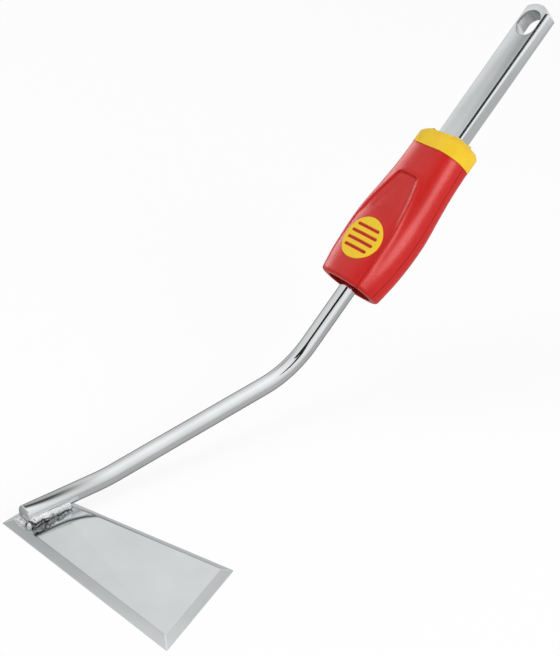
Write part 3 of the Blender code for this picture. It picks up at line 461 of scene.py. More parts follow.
def makeCollar():
    # rings of the housing's end form up the side, then of the rounded box up the neck and down the recess;
    # the dome's height comes from the profile, by a point's share of the ring's size, plus a lean
    start, power = collar["start"], housing["power"]
    half = sectionAt(np.array([start]))[0] + collar["proud"]
    turn = circle(collar["points"])
    ringX, ringN = oval(half[0], half[1], turn)
    angles = np.arctan2(ringN, ringX)
    heights, insets = np.array(collar["profile"]).T
    rows = []
    for height, inset in collar["profile"][:collar["ringRows"]]:
        x, n = oval(half[0] - inset, half[1] - inset, turn)
        lean = collar["lean"] if height > 0 else (0.0, 0.0)
        rows.append((x, start + height + lean[0] * x + lean[1] * n, n))

    def domeAt(x, n):
        share = (np.abs(x / half[0]) ** power + np.abs(n / half[1]) ** power) ** (1 / power)
        height = np.interp((1 - share) * half.mean(), insets, heights)
        return start + height + collar["lean"][0] * x + collar["lean"][1] * n

    def rim(x, n):
        neckTop = start + collar["neckHeight"] + collar["neckLean"][0] * x + collar["neckLean"][1] * n
        return np.maximum(neckTop, domeAt(x, n))

    def addRow(size, grow, shift, heightAt):
        x, n = roundedBox(collar[size], angles, grow)
        x = x + shift
        rows.append((x, heightAt(x, n), n))

    shift, (edge, ease, drop) = collar["neckShift"], collar["neckEase"]
    for grow in collar["neckFoot"]:
        addRow("neck", grow, shift, domeAt)
    for share in collar["neckRows"]:
        def wall(x, n):
            return domeAt(x, n) + share * np.maximum(rim(x, n) - edge - domeAt(x, n), 0)
        addRow("neck", 0.0, shift, wall)
    addRow("neck", -ease, shift, lambda x, n: np.maximum(rim(x, n) - drop, domeAt(x, n)))
    addRow("neck", -edge, shift, rim)
    addRow("recess", collar["recessEase"], 0.0, rim)
    addRow("recess", 0.0, 0.0, lambda x, n: rim(x, n) - collar["recessEase"])
    for height in (collar["floor"], start):
        addRow("recess", 0.0, 0.0, lambda x, n: np.full_like(x, height))
    piece = newLoft("collar_ring", np.stack([onHandle(*row) for row in rows]), True, collar["sharp"])
    fit(piece, "head", "yellow_plastic", "collar")


makeCollar()
print("collar made")


# Rod: round bar along two straights, two bends and the straight in the block

rod = {
    "radius": foot["rodRadius"], "flatRun": 0.0505, "riseRun": 0.1265, "riseAngle": 6.9,
    "footBend": 0.120, "neckBend": 0.062, "top": 0.0800, "endRound": 0.0007,
    "sides": 72, "bendPoints": 41, "roundRows": 6,
}


def rodPath():
    # corners of the axis in Y and Z, the two inner ones replaced by arcs
    rise = rod["riseRun"] * math.tan(math.radians(rod["riseAngle"]))
    start, knee = np.zeros(2), np.array((rod["flatRun"], 0.0))
    bend = np.array((rod["flatRun"] + rod["riseRun"], rise))
    top = bend + rod["top"] * handleAxis[1:]
    low = arcAt(start, knee, bend, rod["footBend"], rod["bendPoints"])
    high = arcAt(knee, bend, top, rod["neckBend"], rod["bendPoints"])
    return np.concatenate((start[None], low, high, top[None]))


def makeRod():
    # circles square to the axis at each of its points, with a quarter round at the free end
    path = rodPath()
    run = np.gradient(path, axis=0)
    run /= np.linalg.norm(run, axis=1, keepdims=True)
    run[0], run[-1] = (1.0, 0.0), handleAxis[1:]
    bow = np.linspace(0.0, math.pi / 2, rod["roundRows"])
    ends = rod["endRound"] * (1 - np.cos(bow))
    rounded = rod["radius"] - rod["endRound"] * (1 - np.sin(bow))
    radii = np.concatenate((rounded, np.full(len(path) - 1, rod["radius"])))[:, None]
    path = np.concatenate((path[:1] + ends[:, None] * run[:1], path[1:]))
    run = np.concatenate((np.repeat(run[:1], rod["roundRows"], axis=0), run[1:]))
    angles = circle(rod["sides"])
    up = radii * np.sin(angles)
    rings = grid(radii * np.cos(angles), path[:, :1] - run[:, 1:] * up, path[:, 1:] + run[:, :1] * up)
    fit(newLoft("bent_rod", footPoint + rings, False), "head", "chromed_rod", "rod")


makeRod()
print("rod made")


# Tang: flat bar with eased edges, a bowed end and a round-ended slot

tang = {
    "width": 0.0172, "thickness": 0.0105, "start": 0.0825, "end": 0.2520, "bow": 0.0040, "bowPoints": 49,
    "chamferWide": 0.0011, "chamferDeep": 0.00066, "crown": 0.00048, "crownRows": 21,
    "endEase": 0.35, "endEaseRun": 0.0008,  # share of the chamfer that is left on the bowed end
    "slotWidth": 0.0128, "slotLength": 0.0165, "tipWall": 0.0048, "slotEase": 0.0005, "slotPoints": 17,
    "sharp": 20.0,
}


def offsetLoop(loop, inset):
    # each point moved along the mean normal of its two edges, towards the inside of a counter-clockwise loop
    edges = (loop - np.roll(loop, 1, axis=0), np.roll(loop, -1, axis=0) - loop)
    normals = [np.column_stack((-e[:, 1], e[:, 0])) / np.linalg.norm(e, axis=1, keepdims=True) for e in edges]
    mean = normals[0] + normals[1]
    return loop + inset * mean / (mean * normals[0]).sum(axis=1, keepdims=True)


def tangLoop():
    # from the middle of the near end, up the right side, over the arc of the bowed end and down the left
    half = tang["width"] / 2
    radius = (half * half + tang["bow"] ** 2) / (2 * tang["bow"])
    sweep = math.asin(half / radius)
    turn = np.linspace(sweep, -sweep, tang["bowPoints"])
    arc = np.column_stack((radius * np.sin(turn), tang["end"] - radius + radius * np.cos(turn)))
    return np.concatenate((((0.0, tang["start"]), (half, tang["start"])), arc, ((-half, tang["start"]),)))


def slotLoop():
    # from the middle of the near end, round to the far end and back
    radius, points = tang["slotWidth"] / 2, tang["slotPoints"]
    far = tang["end"] - tang["tipWall"] - radius
    near = tang["end"] - tang["tipWall"] - tang["slotLength"] + radius
    parts = ((near, np.linspace(-math.pi / 2, 0.0, points)), (far, np.linspace(0.0, math.pi, 2 * points - 1)),
             (near, np.linspace(math.pi, 3 * math.pi / 2, points)[:-1]))
    return np.concatenate([np.column_stack((radius * np.cos(a), at + radius * np.sin(a))) for at, a in parts])


def makeTang():
    # outline insets run from the front chamfer over the sides, crowned as t^4, to the back chamfer, and slot
    # insets are quarter rounds; both flat faces are split in two, from the near middle to the far one
    half = tang["thickness"] / 2
    outline, slot = tangLoop(), slotLoop()
    chamfer, crown, ease = tang["crown"] + tang["chamferWide"], tang["crown"], tang["slotEase"]
    across = np.linspace(-1.0, 1.0, tang["crownRows"])
    sides = [(chamfer, half)]
    sides += [(crown * abs(t) ** 4, -t * (half - tang["chamferDeep"])) for t in across]
    sides += [(chamfer, -half)]
    bowed = smoothStep((outline[:, 1] - (tang["end"] - tang["bow"])) / tang["endEaseRun"])
    easing = (1 - (1 - tang["endEase"]) * bowed)[:, None]
    rounding = [(1.0, 0.0), (0.5, 0.13), (0.13, 0.5), (0.0, 1.0)]  # shares of the ease, at 30 degree steps
    inner = [(-ease * out, half - ease * down) for out, down in rounding]
    inner += [(inset, -n) for inset, n in reversed(inner)]
    outerRings = np.stack([onHandle(*offsetLoop(outline, inset * easing).T, n) for inset, n in sides])
    slotRings = np.stack([onHandle(*offsetLoop(slot, inset).T, n) for inset, n in inner])
    points = np.concatenate((outerRings.reshape(-1, 3), slotRings.reshape(-1, 3)))
    count, holes, base = len(outline), len(slot), outerRings.shape[0] * len(outline)
    faces = sheetFaces(len(sides), count, True).tolist()
    faces += (sheetFaces(len(inner), holes, True) + base).tolist()
    tip, far = int(np.argmax(outline[:, 1])), int(np.argmax(slot[:, 1]))
    for outerRow, innerRow in ((0, 0), (len(sides) - 1, len(inner) - 1)):
        o, h = outerRow * count, base + innerRow * holes
        right = [o + i for i in range(tip + 1)] + [h + i for i in range(far, -1, -1)]
        left = [o + i for i in range(tip, count)] + [o, h] + [h + i for i in range(holes - 1, far - 1, -1)]
        faces += [right, left]
    fit(newPiece("slotted_tang", points, faces, tang["sharp"]), "head", "tang_steel", "tang")


makeTang()
print("tang made")


# Blade: flat plate ground to a bevel all round

blade = {
    "front": (0.133, 2.2), "heel": (0.034, 98.7), "back": (0.116, 16.3),  # lengths, and degrees from X
    "corner": (-0.0101, -0.0070), "cornerRound": 0.0006, "cornerPoints": 5,
    "thickness": 0.0025, "bevel": 0.0049, "edge": 0.0004, "underEase": 0.0001,
    "edgeEase": (0.00008, 0.00012, 0.00006),  # below the ground edge, and in and up past it
    "bevelEase": 0.00035, "sharp": 12.0,
    "bevelRows": ((-1.0, 1.0), (-0.4, 0.55), (0.2, 0.2), (1.0, 0.0)),  # in and down, in shares of the ease
}


def bladeCorners():
    # the front edge and the heel leave one corner; the back edge starts where the heel ends
    def along(point, run):
        return point + run[0] * np.array((math.cos(math.radians(run[1])), math.sin(math.radians(run[1]))))
    heelFront = np.array(blade["corner"])
    heelBack = along(heelFront, blade["heel"])
    return np.array((heelFront, along(heelFront, blade["front"]), along(heelBack, blade["back"]), heelBack))


def makeBlade():
    # the outline with round corners, inset and raised row by row: under edge, ground edge, and the bevel that
    # blends into the top face
    thick, bevel, edge, ease = blade["thickness"], blade["bevel"], blade["edge"], blade["bevelEase"]
    under, (below, inward, above) = blade["underEase"], blade["edgeEase"]
    slope = (thick - edge) / bevel
    rows = [(under, -thick), (0.0, under - thick), (0.0, edge - below - thick)]
    rows += [(inward, edge + above - thick)]
    rows += [(bevel + ease * inside, -ease * slope * down) for inside, down in blade["bevelRows"]]
    rings = []
    for inset, height in rows:
        corners = offsetLoop(bladeCorners(), inset)
        neighbours = zip(np.roll(corners, 1, axis=0), corners, np.roll(corners, -1, axis=0))
        arcs = [arcAt(*three, blade["cornerRound"], blade["cornerPoints"]) for three in neighbours]
        rings.append(bladeTop + grid(*np.concatenate(arcs).T, height))
    fit(newLoft("blade_plate", np.stack(rings), False, blade["sharp"]), "head", "blade_steel", "blade")


makeBlade()
print("blade made")


# Thumb pad: a dished disc let into the tongue, with grooves across it

def makePad():
    # polar grid laid on the housing's front and raised, less a dish within the rim, a quarter round at the
    # edge and round-ended grooves; how deep a point lies in a groove is kept on it too, for the colour
    turn = circle(pad["points"])
    edgeRows = np.sin(np.linspace(pad["edgeFirst"], math.pi / 2, pad["edgeRows"]))
    flat = pad["flat"]
    share = np.concatenate((np.linspace(pad["first"], flat, pad["rows"]), flat + (1 - flat) * edgeRows))
    r = pad["radius"] * share[:, None]
    x, along = r * np.cos(turn), r * np.sin(turn)
    within = pad["radius"] - pad["rim"] - r
    outer, innerRun = pad["dishInner"]
    dish = smoothStep(within / pad["dishRun"]) * (outer + (1 - outer) * smoothStep(within / innerRun))
    edge = np.maximum(0.0, share[:, None] - flat) / (1 - flat)
    drop = pad["edgeDrop"] * (1 - np.sqrt(np.maximum(0.0, 1 - edge**2)))
    sunk = np.zeros_like(x)
    for middle in (np.arange(pad["grooves"]) - (pad["grooves"] - 1) / 2) * pad["groovePitch"]:
        reach = pad["grooveReach"] * math.sqrt(pad["radius"] ** 2 - middle**2)
        end = np.maximum(0.0, np.abs(x) - (reach - pad["grooveHalf"]))
        away = np.hypot(along - middle, end) / pad["grooveHalf"]
        sunk = np.maximum(sunk, falling(away, pad["grooveEdge"]))
    s = pad["station"] + along
    height = skinHeight(x, s) + pad["rise"] - pad["dish"] * dish - drop - pad["grooveDepth"] * sunk
    rows = [onHandle(x, s, height)]
    rimX, rimS = pad["radius"] * np.cos(turn), pad["radius"] * np.sin(turn)
    for part in (1.0, pad["under"]):
        low = skinHeight(part * rimX, pad["station"] + rimS) - pad["depth"]
        rows.append(onHandle(part * rimX, pad["station"] + part * rimS, low)[None])
    piece = newLoft("grooved_pad", np.concatenate(rows), False, pad["sharp"])
    depths = np.concatenate((sunk.ravel(), np.zeros(2 * len(turn))))
    assert len(piece.data.vertices) == len(depths), "the pad's points were merged"
    piece.data.attributes.new("groove", "FLOAT", "POINT").data.foreach_set("value", depths)
    fit(piece, "button", "yellow_plastic", "thumb_pad", "pad_plastic")


makePad()
print("pad made")


# Spring between tang and tongue

spring = {
    "station": 0.1025, "radius": 0.0031, "wire": 0.0004, "turns": 4, "pointsPerTurn": 40, "sides": 12,
    "foot": 0.00555, "clear": 0.0006, "keep": 0.85,
}


def makeSpring():
    # helix with a round wire: rings stand square to the helix's run
    low = spring["foot"] + spring["wire"]
    high = sectionAt(np.array([spring["station"]]))[0][1] - tongue["wall"] - spring["clear"] - spring["wire"]
    angle = np.linspace(0.0, spring["turns"] * 2 * math.pi, spring["turns"] * spring["pointsPerTurn"] + 1)
    rise = (high - low) / angle[-1]
    zero = 0 * angle
    radial = np.column_stack((np.cos(angle), np.sin(angle), zero))
    middle = spring["radius"] * radial + np.column_stack((zero, zero + spring["station"], low + rise * angle))
    run = np.column_stack((-spring["radius"] * np.sin(angle), spring["radius"] * np.cos(angle), zero + rise))
    upward = np.cross(radial, run)
    upward /= np.linalg.norm(upward, axis=1, keepdims=True)
    turn = circle(spring["sides"])[None, :, None]
    around = np.cos(turn) * radial[:, None] + np.sin(turn) * upward[:, None]
    x, s, n = np.moveaxis(middle[:, None] + spring["wire"] * around, -1, 0)
    piece = newLoft("coil_spring", onHandle(x, s, n), False)
    fit(piece, "head", "zinc_steel", "return_spring")
    anchor = onHandle(0.0, spring["station"], spring["foot"])
    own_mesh(piece)


makeSpring()
print("spring made")


# Welds: lumpy, rippled beads in the corners between rod and blade, one across the rod's end, and single drops

weld = {
    "front": (-0.0002, 0.0268), "back": (0.0026, 0.0232),  # where a bead starts and ends along the rod
    "reach": (0.0050, 0.0034), "height": (0.0031, 0.0022), "radius": (0.0031, 0.0022),  # at start and end
    "wander": (0.00025, 900), "endRun": 0.0030, "tip": 0.02, "endHeight": 0.75,
    "knob": 0.08, "knobAt": 0.0021, "knobWidth": 0.0011,
    "pitch": 0.0013, "ripple": 0.035, "crest": 0.7, "bow": 0.42, "bowTurn": {1: 0.8, -1: 2.3},
    "calm": (0.0015, 0.002),  # ripples start this far from the ends
    "seeds": {"front": 11, "back": 23}, "lump": 0.07, "lumpRun": 0.30,
    "coarse": (0.6, 1.6), "ragged": (0.9, 3.0, 1.3),  # height and size of the lumps, the ragged ones finer
    "waves": 14, "waveLengths": (0.6, 2.2), "waveGain": 2.2,
    "smoothTop": (0.25, 0.5), "smoothShare": 0.9,
    "sunk": -0.0001, "points": 96, "step": 0.0002, "sharp": 60.0,
}
endBead = {
    "start": -0.0042, "length": 0.0068, "radius": 0.0017, "off": -0.0009, "height": 0.0010,
    "thick": (1.05, 0.28, 0.16, 0.14), "lump": 0.14, "lumpSize": 0.9, "lumpRun": 400, "seed": 5,
    "rows": 46, "points": 48,
}
drops = {
    "places": (  # name, place from the blade's top under the rod's end, size
        ("weld_lump_front", (0.0058, -0.0006, 0.0018), (0.0015, 0.0015, 0.0023)),
        ("weld_lump_heel", (-0.0046, -0.0022, 0.0005), (0.0009, 0.0009, 0.0010)),
        ("weld_lump_far", (0.0042, 0.0236, 0.0028), (0.0013, 0.0022, 0.0015)),
    ),
    "lump": 0.10, "lumpSize": 1.4, "seed": 31, "pole": 0.02, "rows": 24, "points": 36,
}


def lumps(points, seed, size):
    # smooth uneven height: sines of several lengths and directions added up
    chance = np.random.default_rng(seed)
    ways = chance.normal(size=(weld["waves"], 3))
    ways /= np.linalg.norm(ways, axis=1, keepdims=True)
    lengths = size * chance.uniform(*weld["waveLengths"], weld["waves"])
    starts = chance.uniform(0, 2 * math.pi, weld["waves"])
    heights = np.sin((points @ (ways / lengths[:, None]).T) * 2 * math.pi + starts)
    return heights.mean(axis=-1) * weld["waveGain"]


def makeBead(name, node, side):
    # tube along the rod: radius = thickness * swell of the ends * (1 - ripples + knob near the ends + lumps);
    # the ripples' crests |sin(pi phase)|^power bow forward by a cosine round the tube
    (start, end), seed = weld[node], weld["seeds"][node]
    length = end - start
    t = np.linspace(0.0, 1.0, int(length / weld["step"]))[:, None]
    turn = circle(weld["points"])[None]
    y = start + length * t
    endOff = np.minimum(t, 1 - t) * length
    swell = np.sqrt(np.clip(1 - (1 - np.clip(endOff / weld["endRun"], 0, 1)) ** 2, 0.0, 1.0))
    knob = weld["knob"] * np.exp(-((endOff - weld["knobAt"]) / weld["knobWidth"]) ** 2)
    phase = y / weld["pitch"] + weld["bow"] * np.cos(turn - weld["bowTurn"][side])
    crest = np.abs(np.sin(math.pi * phase)) ** weld["crest"]
    ripple = weld["ripple"] * (1 - crest) * rising(endOff, weld["calm"])
    base = grid(side * np.cos(turn), weld["lumpRun"] * y / weld["pitch"], np.sin(turn))
    upper = rising(np.sin(turn), weld["smoothTop"])  # 1 on the smooth top, 0 on the ragged toe
    coarse, ragged = weld["coarse"], weld["ragged"]
    rough = coarse[0] * lumps(base, seed, coarse[1])
    rough += ragged[0] * (1 - weld["smoothShare"] * upper) * lumps(base * ragged[1], seed + 1, ragged[2])
    reach, height, thick = (a + (b - a) * t for a, b in (weld["reach"], weld["height"], weld["radius"]))
    radius = thick * (weld["tip"] + (1 - weld["tip"]) * swell) * (1 - ripple + knob + weld["lump"] * rough)
    x = side * (reach + weld["wander"][0] * np.sin(y * weld["wander"][1] + seed)) + radius * np.cos(turn)
    rise = weld["endHeight"] + (1 - weld["endHeight"]) * swell
    z = np.maximum(height * rise + radius * np.sin(turn), weld["sunk"])
    fit(newLoft(name, bladeTop + grid(x, y, z), False, weld["sharp"]), "head", "weld_metal", "weld_" + node)


def makeEndBead():
    # short bead across the rod's end: radius = swell * (a bell that is thickest at its left + lumps)
    t = np.linspace(0.0, 1.0, endBead["rows"])[:, None]
    turn = circle(endBead["points"])[None]
    x = endBead["start"] + endBead["length"] * t
    swell = np.sqrt(np.clip(1 - (2 * t - 1) ** 4, 0.0, 1.0))
    low, high, middle, width = endBead["thick"]
    base = grid(x * endBead["lumpRun"], np.cos(turn), np.sin(turn))
    uneven = lumps(base, endBead["seed"], endBead["lumpSize"])
    thick = low + high * np.exp(-((t - middle) / width) ** 2) + endBead["lump"] * uneven
    radius = endBead["radius"] * (weld["tip"] + (1 - weld["tip"]) * swell) * thick
    y = endBead["off"] + radius * np.cos(turn)
    z = np.maximum(endBead["height"] + radius * np.sin(turn), weld["sunk"])
    piece = newLoft("bead_end", bladeTop + grid(x, y, z), False, weld["sharp"])
    fit(piece, "head", "weld_metal", "weld_end", "weld_bright")


def makeDrop(name, place, size, seed):
    # ellipsoid with uneven height, flat where it meets the blade
    ball = sphere(drops["rows"], drops["points"], drops["pole"])
    points = ball * (1 + drops["lump"] * lumps(ball, seed, drops["lumpSize"]))[..., None] * size + place
    points[..., 2] = np.maximum(points[..., 2], weld["sunk"])
    piece = newLoft(name, bladeTop + points, False, weld["sharp"])
    fit(piece, "head", "weld_metal", finish="weld_bright")


for number, (name, place, size) in enumerate(drops["places"]):
    makeDrop(name, place, size, drops["seed"] + number)
makeBead("bead_front", "front", 1)
makeBead("bead_back", "back", -1)
makeEndBead()
print("welds made")


# Finishes: plastics, and metals, some with marks, most of them painted reflection and painted shade

class Wire:
    # a socket in a material; arithmetic on it adds Math nodes, and node() adds any other node
    def __init__(self, tree, socket=None):
        self.tree, self.socket = tree, socket

    def node(self, kind, settings=None, sockets=None, output=0):
        made = self.tree.nodes.new("ShaderNode" + kind)
        for key, value in (settings or {}).items():
            setattr(made, key, value)
        for key, value in (sockets or {}).items():
            if isinstance(value, Wire):
                self.tree.links.new(value.socket, made.inputs[key])
            else:
                made.inputs[key].default_value = value
        return Wire(self.tree, made.outputs[output])

    def math(self, operation, first, second=0.0):
        return self.node("Math", {"operation": operation}, {0: first, 1: second})

    def __add__(self, other):
        return self.math("ADD", self, other)

    def __sub__(self, other):
        return self.math("SUBTRACT", self, other)

    def __rsub__(self, other):
        return self.math("SUBTRACT", other, self)

    def __mul__(self, other):
        return self.math("MULTIPLY", self, other)

    def __truediv__(self, other):
        return self.math("DIVIDE", self, other)

    def __rtruediv__(self, other):
        return self.math("DIVIDE", other, self)

    def __pow__(self, other):
        return self.math("POWER", self, other)

    __radd__ = __add__
    __rmul__ = __mul__

    def place(self):
        return self.node("TexCoord", None, None, "Object")

    def clip(self):
        return self.node("Clamp", None, {"Value": self})

    def noise(self, place, scale, detail=3.0, roughness=0.5):
        settings = {"Vector": place, "Scale": scale, "Detail": detail, "Roughness": roughness}
        return self.node("TexNoise", None, settings)

    def vector(self, operation, first, second=(0.0, 0.0, 0.0), output=0):
        return self.node("VectorMath", {"operation": operation}, {0: first, 1: second}, output)

    def blend(self, factor, first, second):
        # sockets 6 and 7 are the Mix node's colours
        return self.node("Mix", {"data_type": "RGBA"}, {0: factor, 6: first, 7: second}, 2)

    def step(self, start, end, low=0.0, high=1.0):
        # low up to the start, high from the end on, and smooth between
        ends = {"Value": self, "From Min": start, "From Max": end, "To Min": low, "To Max": high}
        return self.node("MapRange", {"interpolation_type": "SMOOTHSTEP"}, ends)


def newFinish(name, metallic, specular=0.5, rimTint=1.0):
    material = bpy.data.materials.new(name)
    material.use_nodes = True
    shader = material.node_tree.nodes["Principled BSDF"]
    shader.inputs["Metallic"].default_value = metallic
    shader.inputs["Specular IOR Level"].default_value = specular
    shader.inputs["Specular Tint"].default_value = (rimTint, rimTint, rimTint, 1.0)
    wire = Wire(material.node_tree)
    return material, shader, wire, wire.place()


def connect(wire, shader, colour, roughness, height, distance, strength):
    bump = wire.node("Bump", None, {"Height": height, "Distance": distance, "Strength": strength})
    for made, socket in ((colour, "Base Color"), (roughness, "Roughness"), (bump, "Normal")):
        wire.tree.links.new(made.socket, shader.inputs[socket])


def linear(shown):
    # colour as shown on a screen, 0 to 255, as the light that it stands for
    part = np.array(shown) / 255
    return (*np.where(part <= 0.04045, part / 12.92, ((part + 0.055) / 1.055) ** 2.4), 1.0)


def shade(colour, gain):
    return (*(min(1.0, c * gain) for c in colour), 1.0)


def spread(base, parts, gains):
    # base + each part's distance from its middle, 0.5, times its gain
    for part, gain in zip(parts, gains):
        base = base + (part - 0.5) * float(gain)
    return base


plastic = {
    "red": {"low": (190, 19, 14), "high": (198, 26, 20), "roughness": 0.34},
    "yellow": {"low": (232, 188, 28), "high": (240, 202, 40), "roughness": 0.38},
    "gloss": 0.30, "clouds": 55.0, "rub": 240.0, "grain": 2600.0, "bump": (0.00002, 0.6),
    "toneGain": 2.2, "roughGains": (0.12, 0.08),  # of the clouds; of rub and grain
}


def makePlastic(name, look):
    # moulded plastic: faint clouds of colour, a fine even grain and slightly uneven gloss
    material, shader, wire, place = newFinish(name, 0.0, plastic["gloss"])
    clouds = wire.noise(place, plastic["clouds"])
    rub = wire.noise(place, plastic["rub"], 4.0)
    grain = wire.noise(place, plastic["grain"], 2.0)
    tone = spread(0.5, (clouds,), (plastic["toneGain"],)).clip()
    colour = wire.blend(tone, linear(look["low"]), linear(look["high"]))
    if "groove" in look:
        groove = wire.node("Attribute", {"attribute_name": "groove"}, None, "Fac")
        colour = wire.blend(groove, colour, linear(look["groove"]))
    roughness = spread(look["roughness"], (rub, grain), plastic["roughGains"])
    connect(wire, shader, colour, roughness, grain, *plastic["bump"])
    return material


def alongHandle(wire, place):
    # across, along and front places on the handle
    off = wire.vector("SUBTRACT", place, tuple(bendPoint))
    axes = (acrossAxis, handleAxis, frontAxis)
    return [wire.vector("DOT_PRODUCT", off, tuple(axis), "Value") for axis in axes]


def fromFoot(wire, place):
    # place from the blade's top under the rod's end
    off = wire.vector("SUBTRACT", place, tuple(bladeTop))
    return [wire.node("SeparateXYZ", None, {0: off}, axis) for axis in "XYZ"]


def bell(wire, off):
    # exp(-off^2)
    return wire.math("EXPONENT", off * off * -1.0)


marks = {
    # each pair: where a smooth step starts and ends
    # slot: the tang slot's wall, unplated with lines, and darkened as painted shade, most at its far end
    "slot": {"edge": (0.00045, 0.0001), "end": (0.0045, 0.0075), "endShade": 0.35,
             "lines": 900.0, "stretch": 0.04, "tone": (0.05, 0.75)},
    # line: the rod's painted reflection on the blade
    "line": {"from": 0.0121, "out": 0.0060, "start": 0.006, "run": 0.0254, "power": 3.2, "width": 0.00135,
             "tone": 0.96, "near": (-0.0035, -0.0015), "far": (0.044, 0.029), "top": (-0.0003, -0.0001),
             "inner": 0.35, "innerOff": (-0.0022, -0.0034), "innerRight": (0.0, 0.004),
             "innerFar": (0.028, 0.010)},
    # streak: the rod's painted dark reflection, with a fainter one beside it
    "streak": {"turn": 1.0584, "drop": 0.41, "dropRate": 100.0, "width": 0.19, "widen": 5.0, "tone": 0.97,
               "near": (0.0003, 0.0007), "far": (0.056, 0.010),
               "above": 0.22, "aboveOff": (0.0, 0.12), "aboveFar": (0.040, 0.015)},
    # the weld darker towards the blade, under its top
    "scale": {"ragged": (420.0, 0.65), "uneven": 0.0046, "slope": 0.085, "top": (0.0048, 0.0036),
              "core": ((0.0048, 0.0038), (0.0016, 0.0031)), "outside": 0.30,
              "specks": 900.0, "speck": (0.50, 0.60), "speckNear": (0.004, 0.010), "speckTone": 0.80,
              "thin": 0.45, "thinNear": (0.006, 0.020)},
}


def slotWallShade(wire, place):
    # the slot's wall, sheared and not plated, darkened partly as painted shade: a capsule round its middle
    # line, with lines through the bar
    look = marks["slot"]
    x, s, n = alongHandle(wire, place)
    radius, length = tang["slotWidth"] / 2, tang["slotLength"]
    middle = tang["end"] - tang["tipWall"] - length / 2
    past = wire.math("MAXIMUM", wire.math("ABSOLUTE", s - middle) - (length / 2 - radius), 0.0)
    away = (x * x + past * past) ** 0.5 - radius
    lines = wire.noise(wire.node("CombineXYZ", None, {0: x, 1: s, 2: n * look["stretch"]}), look["lines"])
    low, gain = look["tone"]
    # painted shade: the wall darker still towards the slot's far end
    tone = low + gain * lines + look["endShade"] * (s - middle).step(*look["end"])
    return away.step(*look["edge"]) * tone.clip()


def rodMirrorLine(wire, place):
    # painted reflection of the rod on the blade beside the weld: a bell that bends outwards as
    # distance^power, and a fainter one on its inner side
    look = marks["line"]
    x, y, z = fromFoot(wire, place)
    over = wire.math("MAXIMUM", y - look["start"], 0.0) * (1 / look["run"])
    line = x - (look["from"] + look["out"] * over ** look["power"])
    fade = y.step(*look["near"]) * y.step(*look["far"]) * z.step(*look["top"])
    inner = line.step(*look["innerOff"]) * x.step(*look["innerRight"]) * y.step(*look["innerFar"])
    return ((bell(wire, line * (1 / look["width"])) * look["tone"] + inner * look["inner"]) * fade).clip()


def rodDarkReflection(wire, place):
    # painted dark reflection on the rod's straight end: a line whose turn round the rod drops as
    # exp(-distance) and which widens
    look = marks["streak"]
    x, y, z = fromFoot(wire, place)
    turn = wire.math("ARCTAN2", z - (foot["rodRadius"] + foot["gap"]), x)
    off = turn - (look["turn"] + look["drop"] * wire.math("EXPONENT", y * -look["dropRate"]))
    near = y.step(*look["near"])
    streak = bell(wire, off / (look["width"] + look["widen"] * y)) * y.step(*look["far"]) * near
    above = off.step(*look["aboveOff"]) * y.step(*look["aboveFar"]) * near * look["above"]
    return (streak * look["tone"] + above).clip()


def scaleMark(wire, place):
    # darker band low on the weld, towards the blade, under its bright top: a ragged band with paler specks,
    # lower and thinner further along
    look = marks["scale"]
    y, z = fromFoot(wire, place)[1:]
    ragged = wire.noise(place, look["ragged"][0], 4.0, look["ragged"][1])
    specks = wire.noise(place, look["specks"], 2.0)
    edge = z + y * look["slope"] + (ragged - 0.5) * look["uneven"]
    core = edge.step(*look["core"][0]) * edge.step(*look["core"][1])
    pale = specks.step(*look["speck"]) * y.step(*look["speckNear"]) * look["speckTone"]
    thin = 1.0 - y.step(*look["thinNear"]) * look["thin"]
    band = edge.step(*look["top"]) * (look["outside"] + (1 - look["outside"]) * core)
    return (band * (1.0 - pale) * thin).clip()


metals = {
    "plain": {"rim": 1.0, "cloud": 0.05, "cloudScale": 38.0, "streak": 0.1, "pits": 0.0, "pitScale": 900.0},
    "chrome": {"colour": (0.825, 0.845, 0.85), "roughness": 0.08, "rim": 0.25,
               "markTone": 0.06, "markRough": 0.0},
    "tang": {"colour": (0.85, 0.88, 0.89), "roughness": 0.15, "streak": 0.12, "pits": 0.25, "pitScale": 420.0,
             "markTone": 0.30, "markRough": 0.12},
    "blade": {"colour": (0.80, 0.833, 0.842), "roughness": 0.10, "streak": 0.22, "pits": 0.08,
              "markTone": 0.07, "markRough": 0.05},
    "weld": {"colour": (0.90, 0.91, 0.915), "roughness": 0.20, "streak": 0.0, "pits": 0.06,
             "cloud": 0.08, "cloudScale": 420.0, "markTone": 0.06, "markRough": 0.2},
    "dark": {"colour": (0.13, 0.13, 0.14), "roughness": 0.45, "streak": 0.2, "pits": 0.5},
    "zinc": {"colour": (0.55, 0.55, 0.52), "roughness": 0.33, "streak": 0.2, "pits": 0.3},
    "lines": 2600.0, "lineStretch": 1 / 60, "bump": (0.00003, 0.5),
    "toneGains": (2.0, 3.0, 1.5), "roughGains": (0.05, 0.3, 0.3),  # of clouds, streaks and pits
}


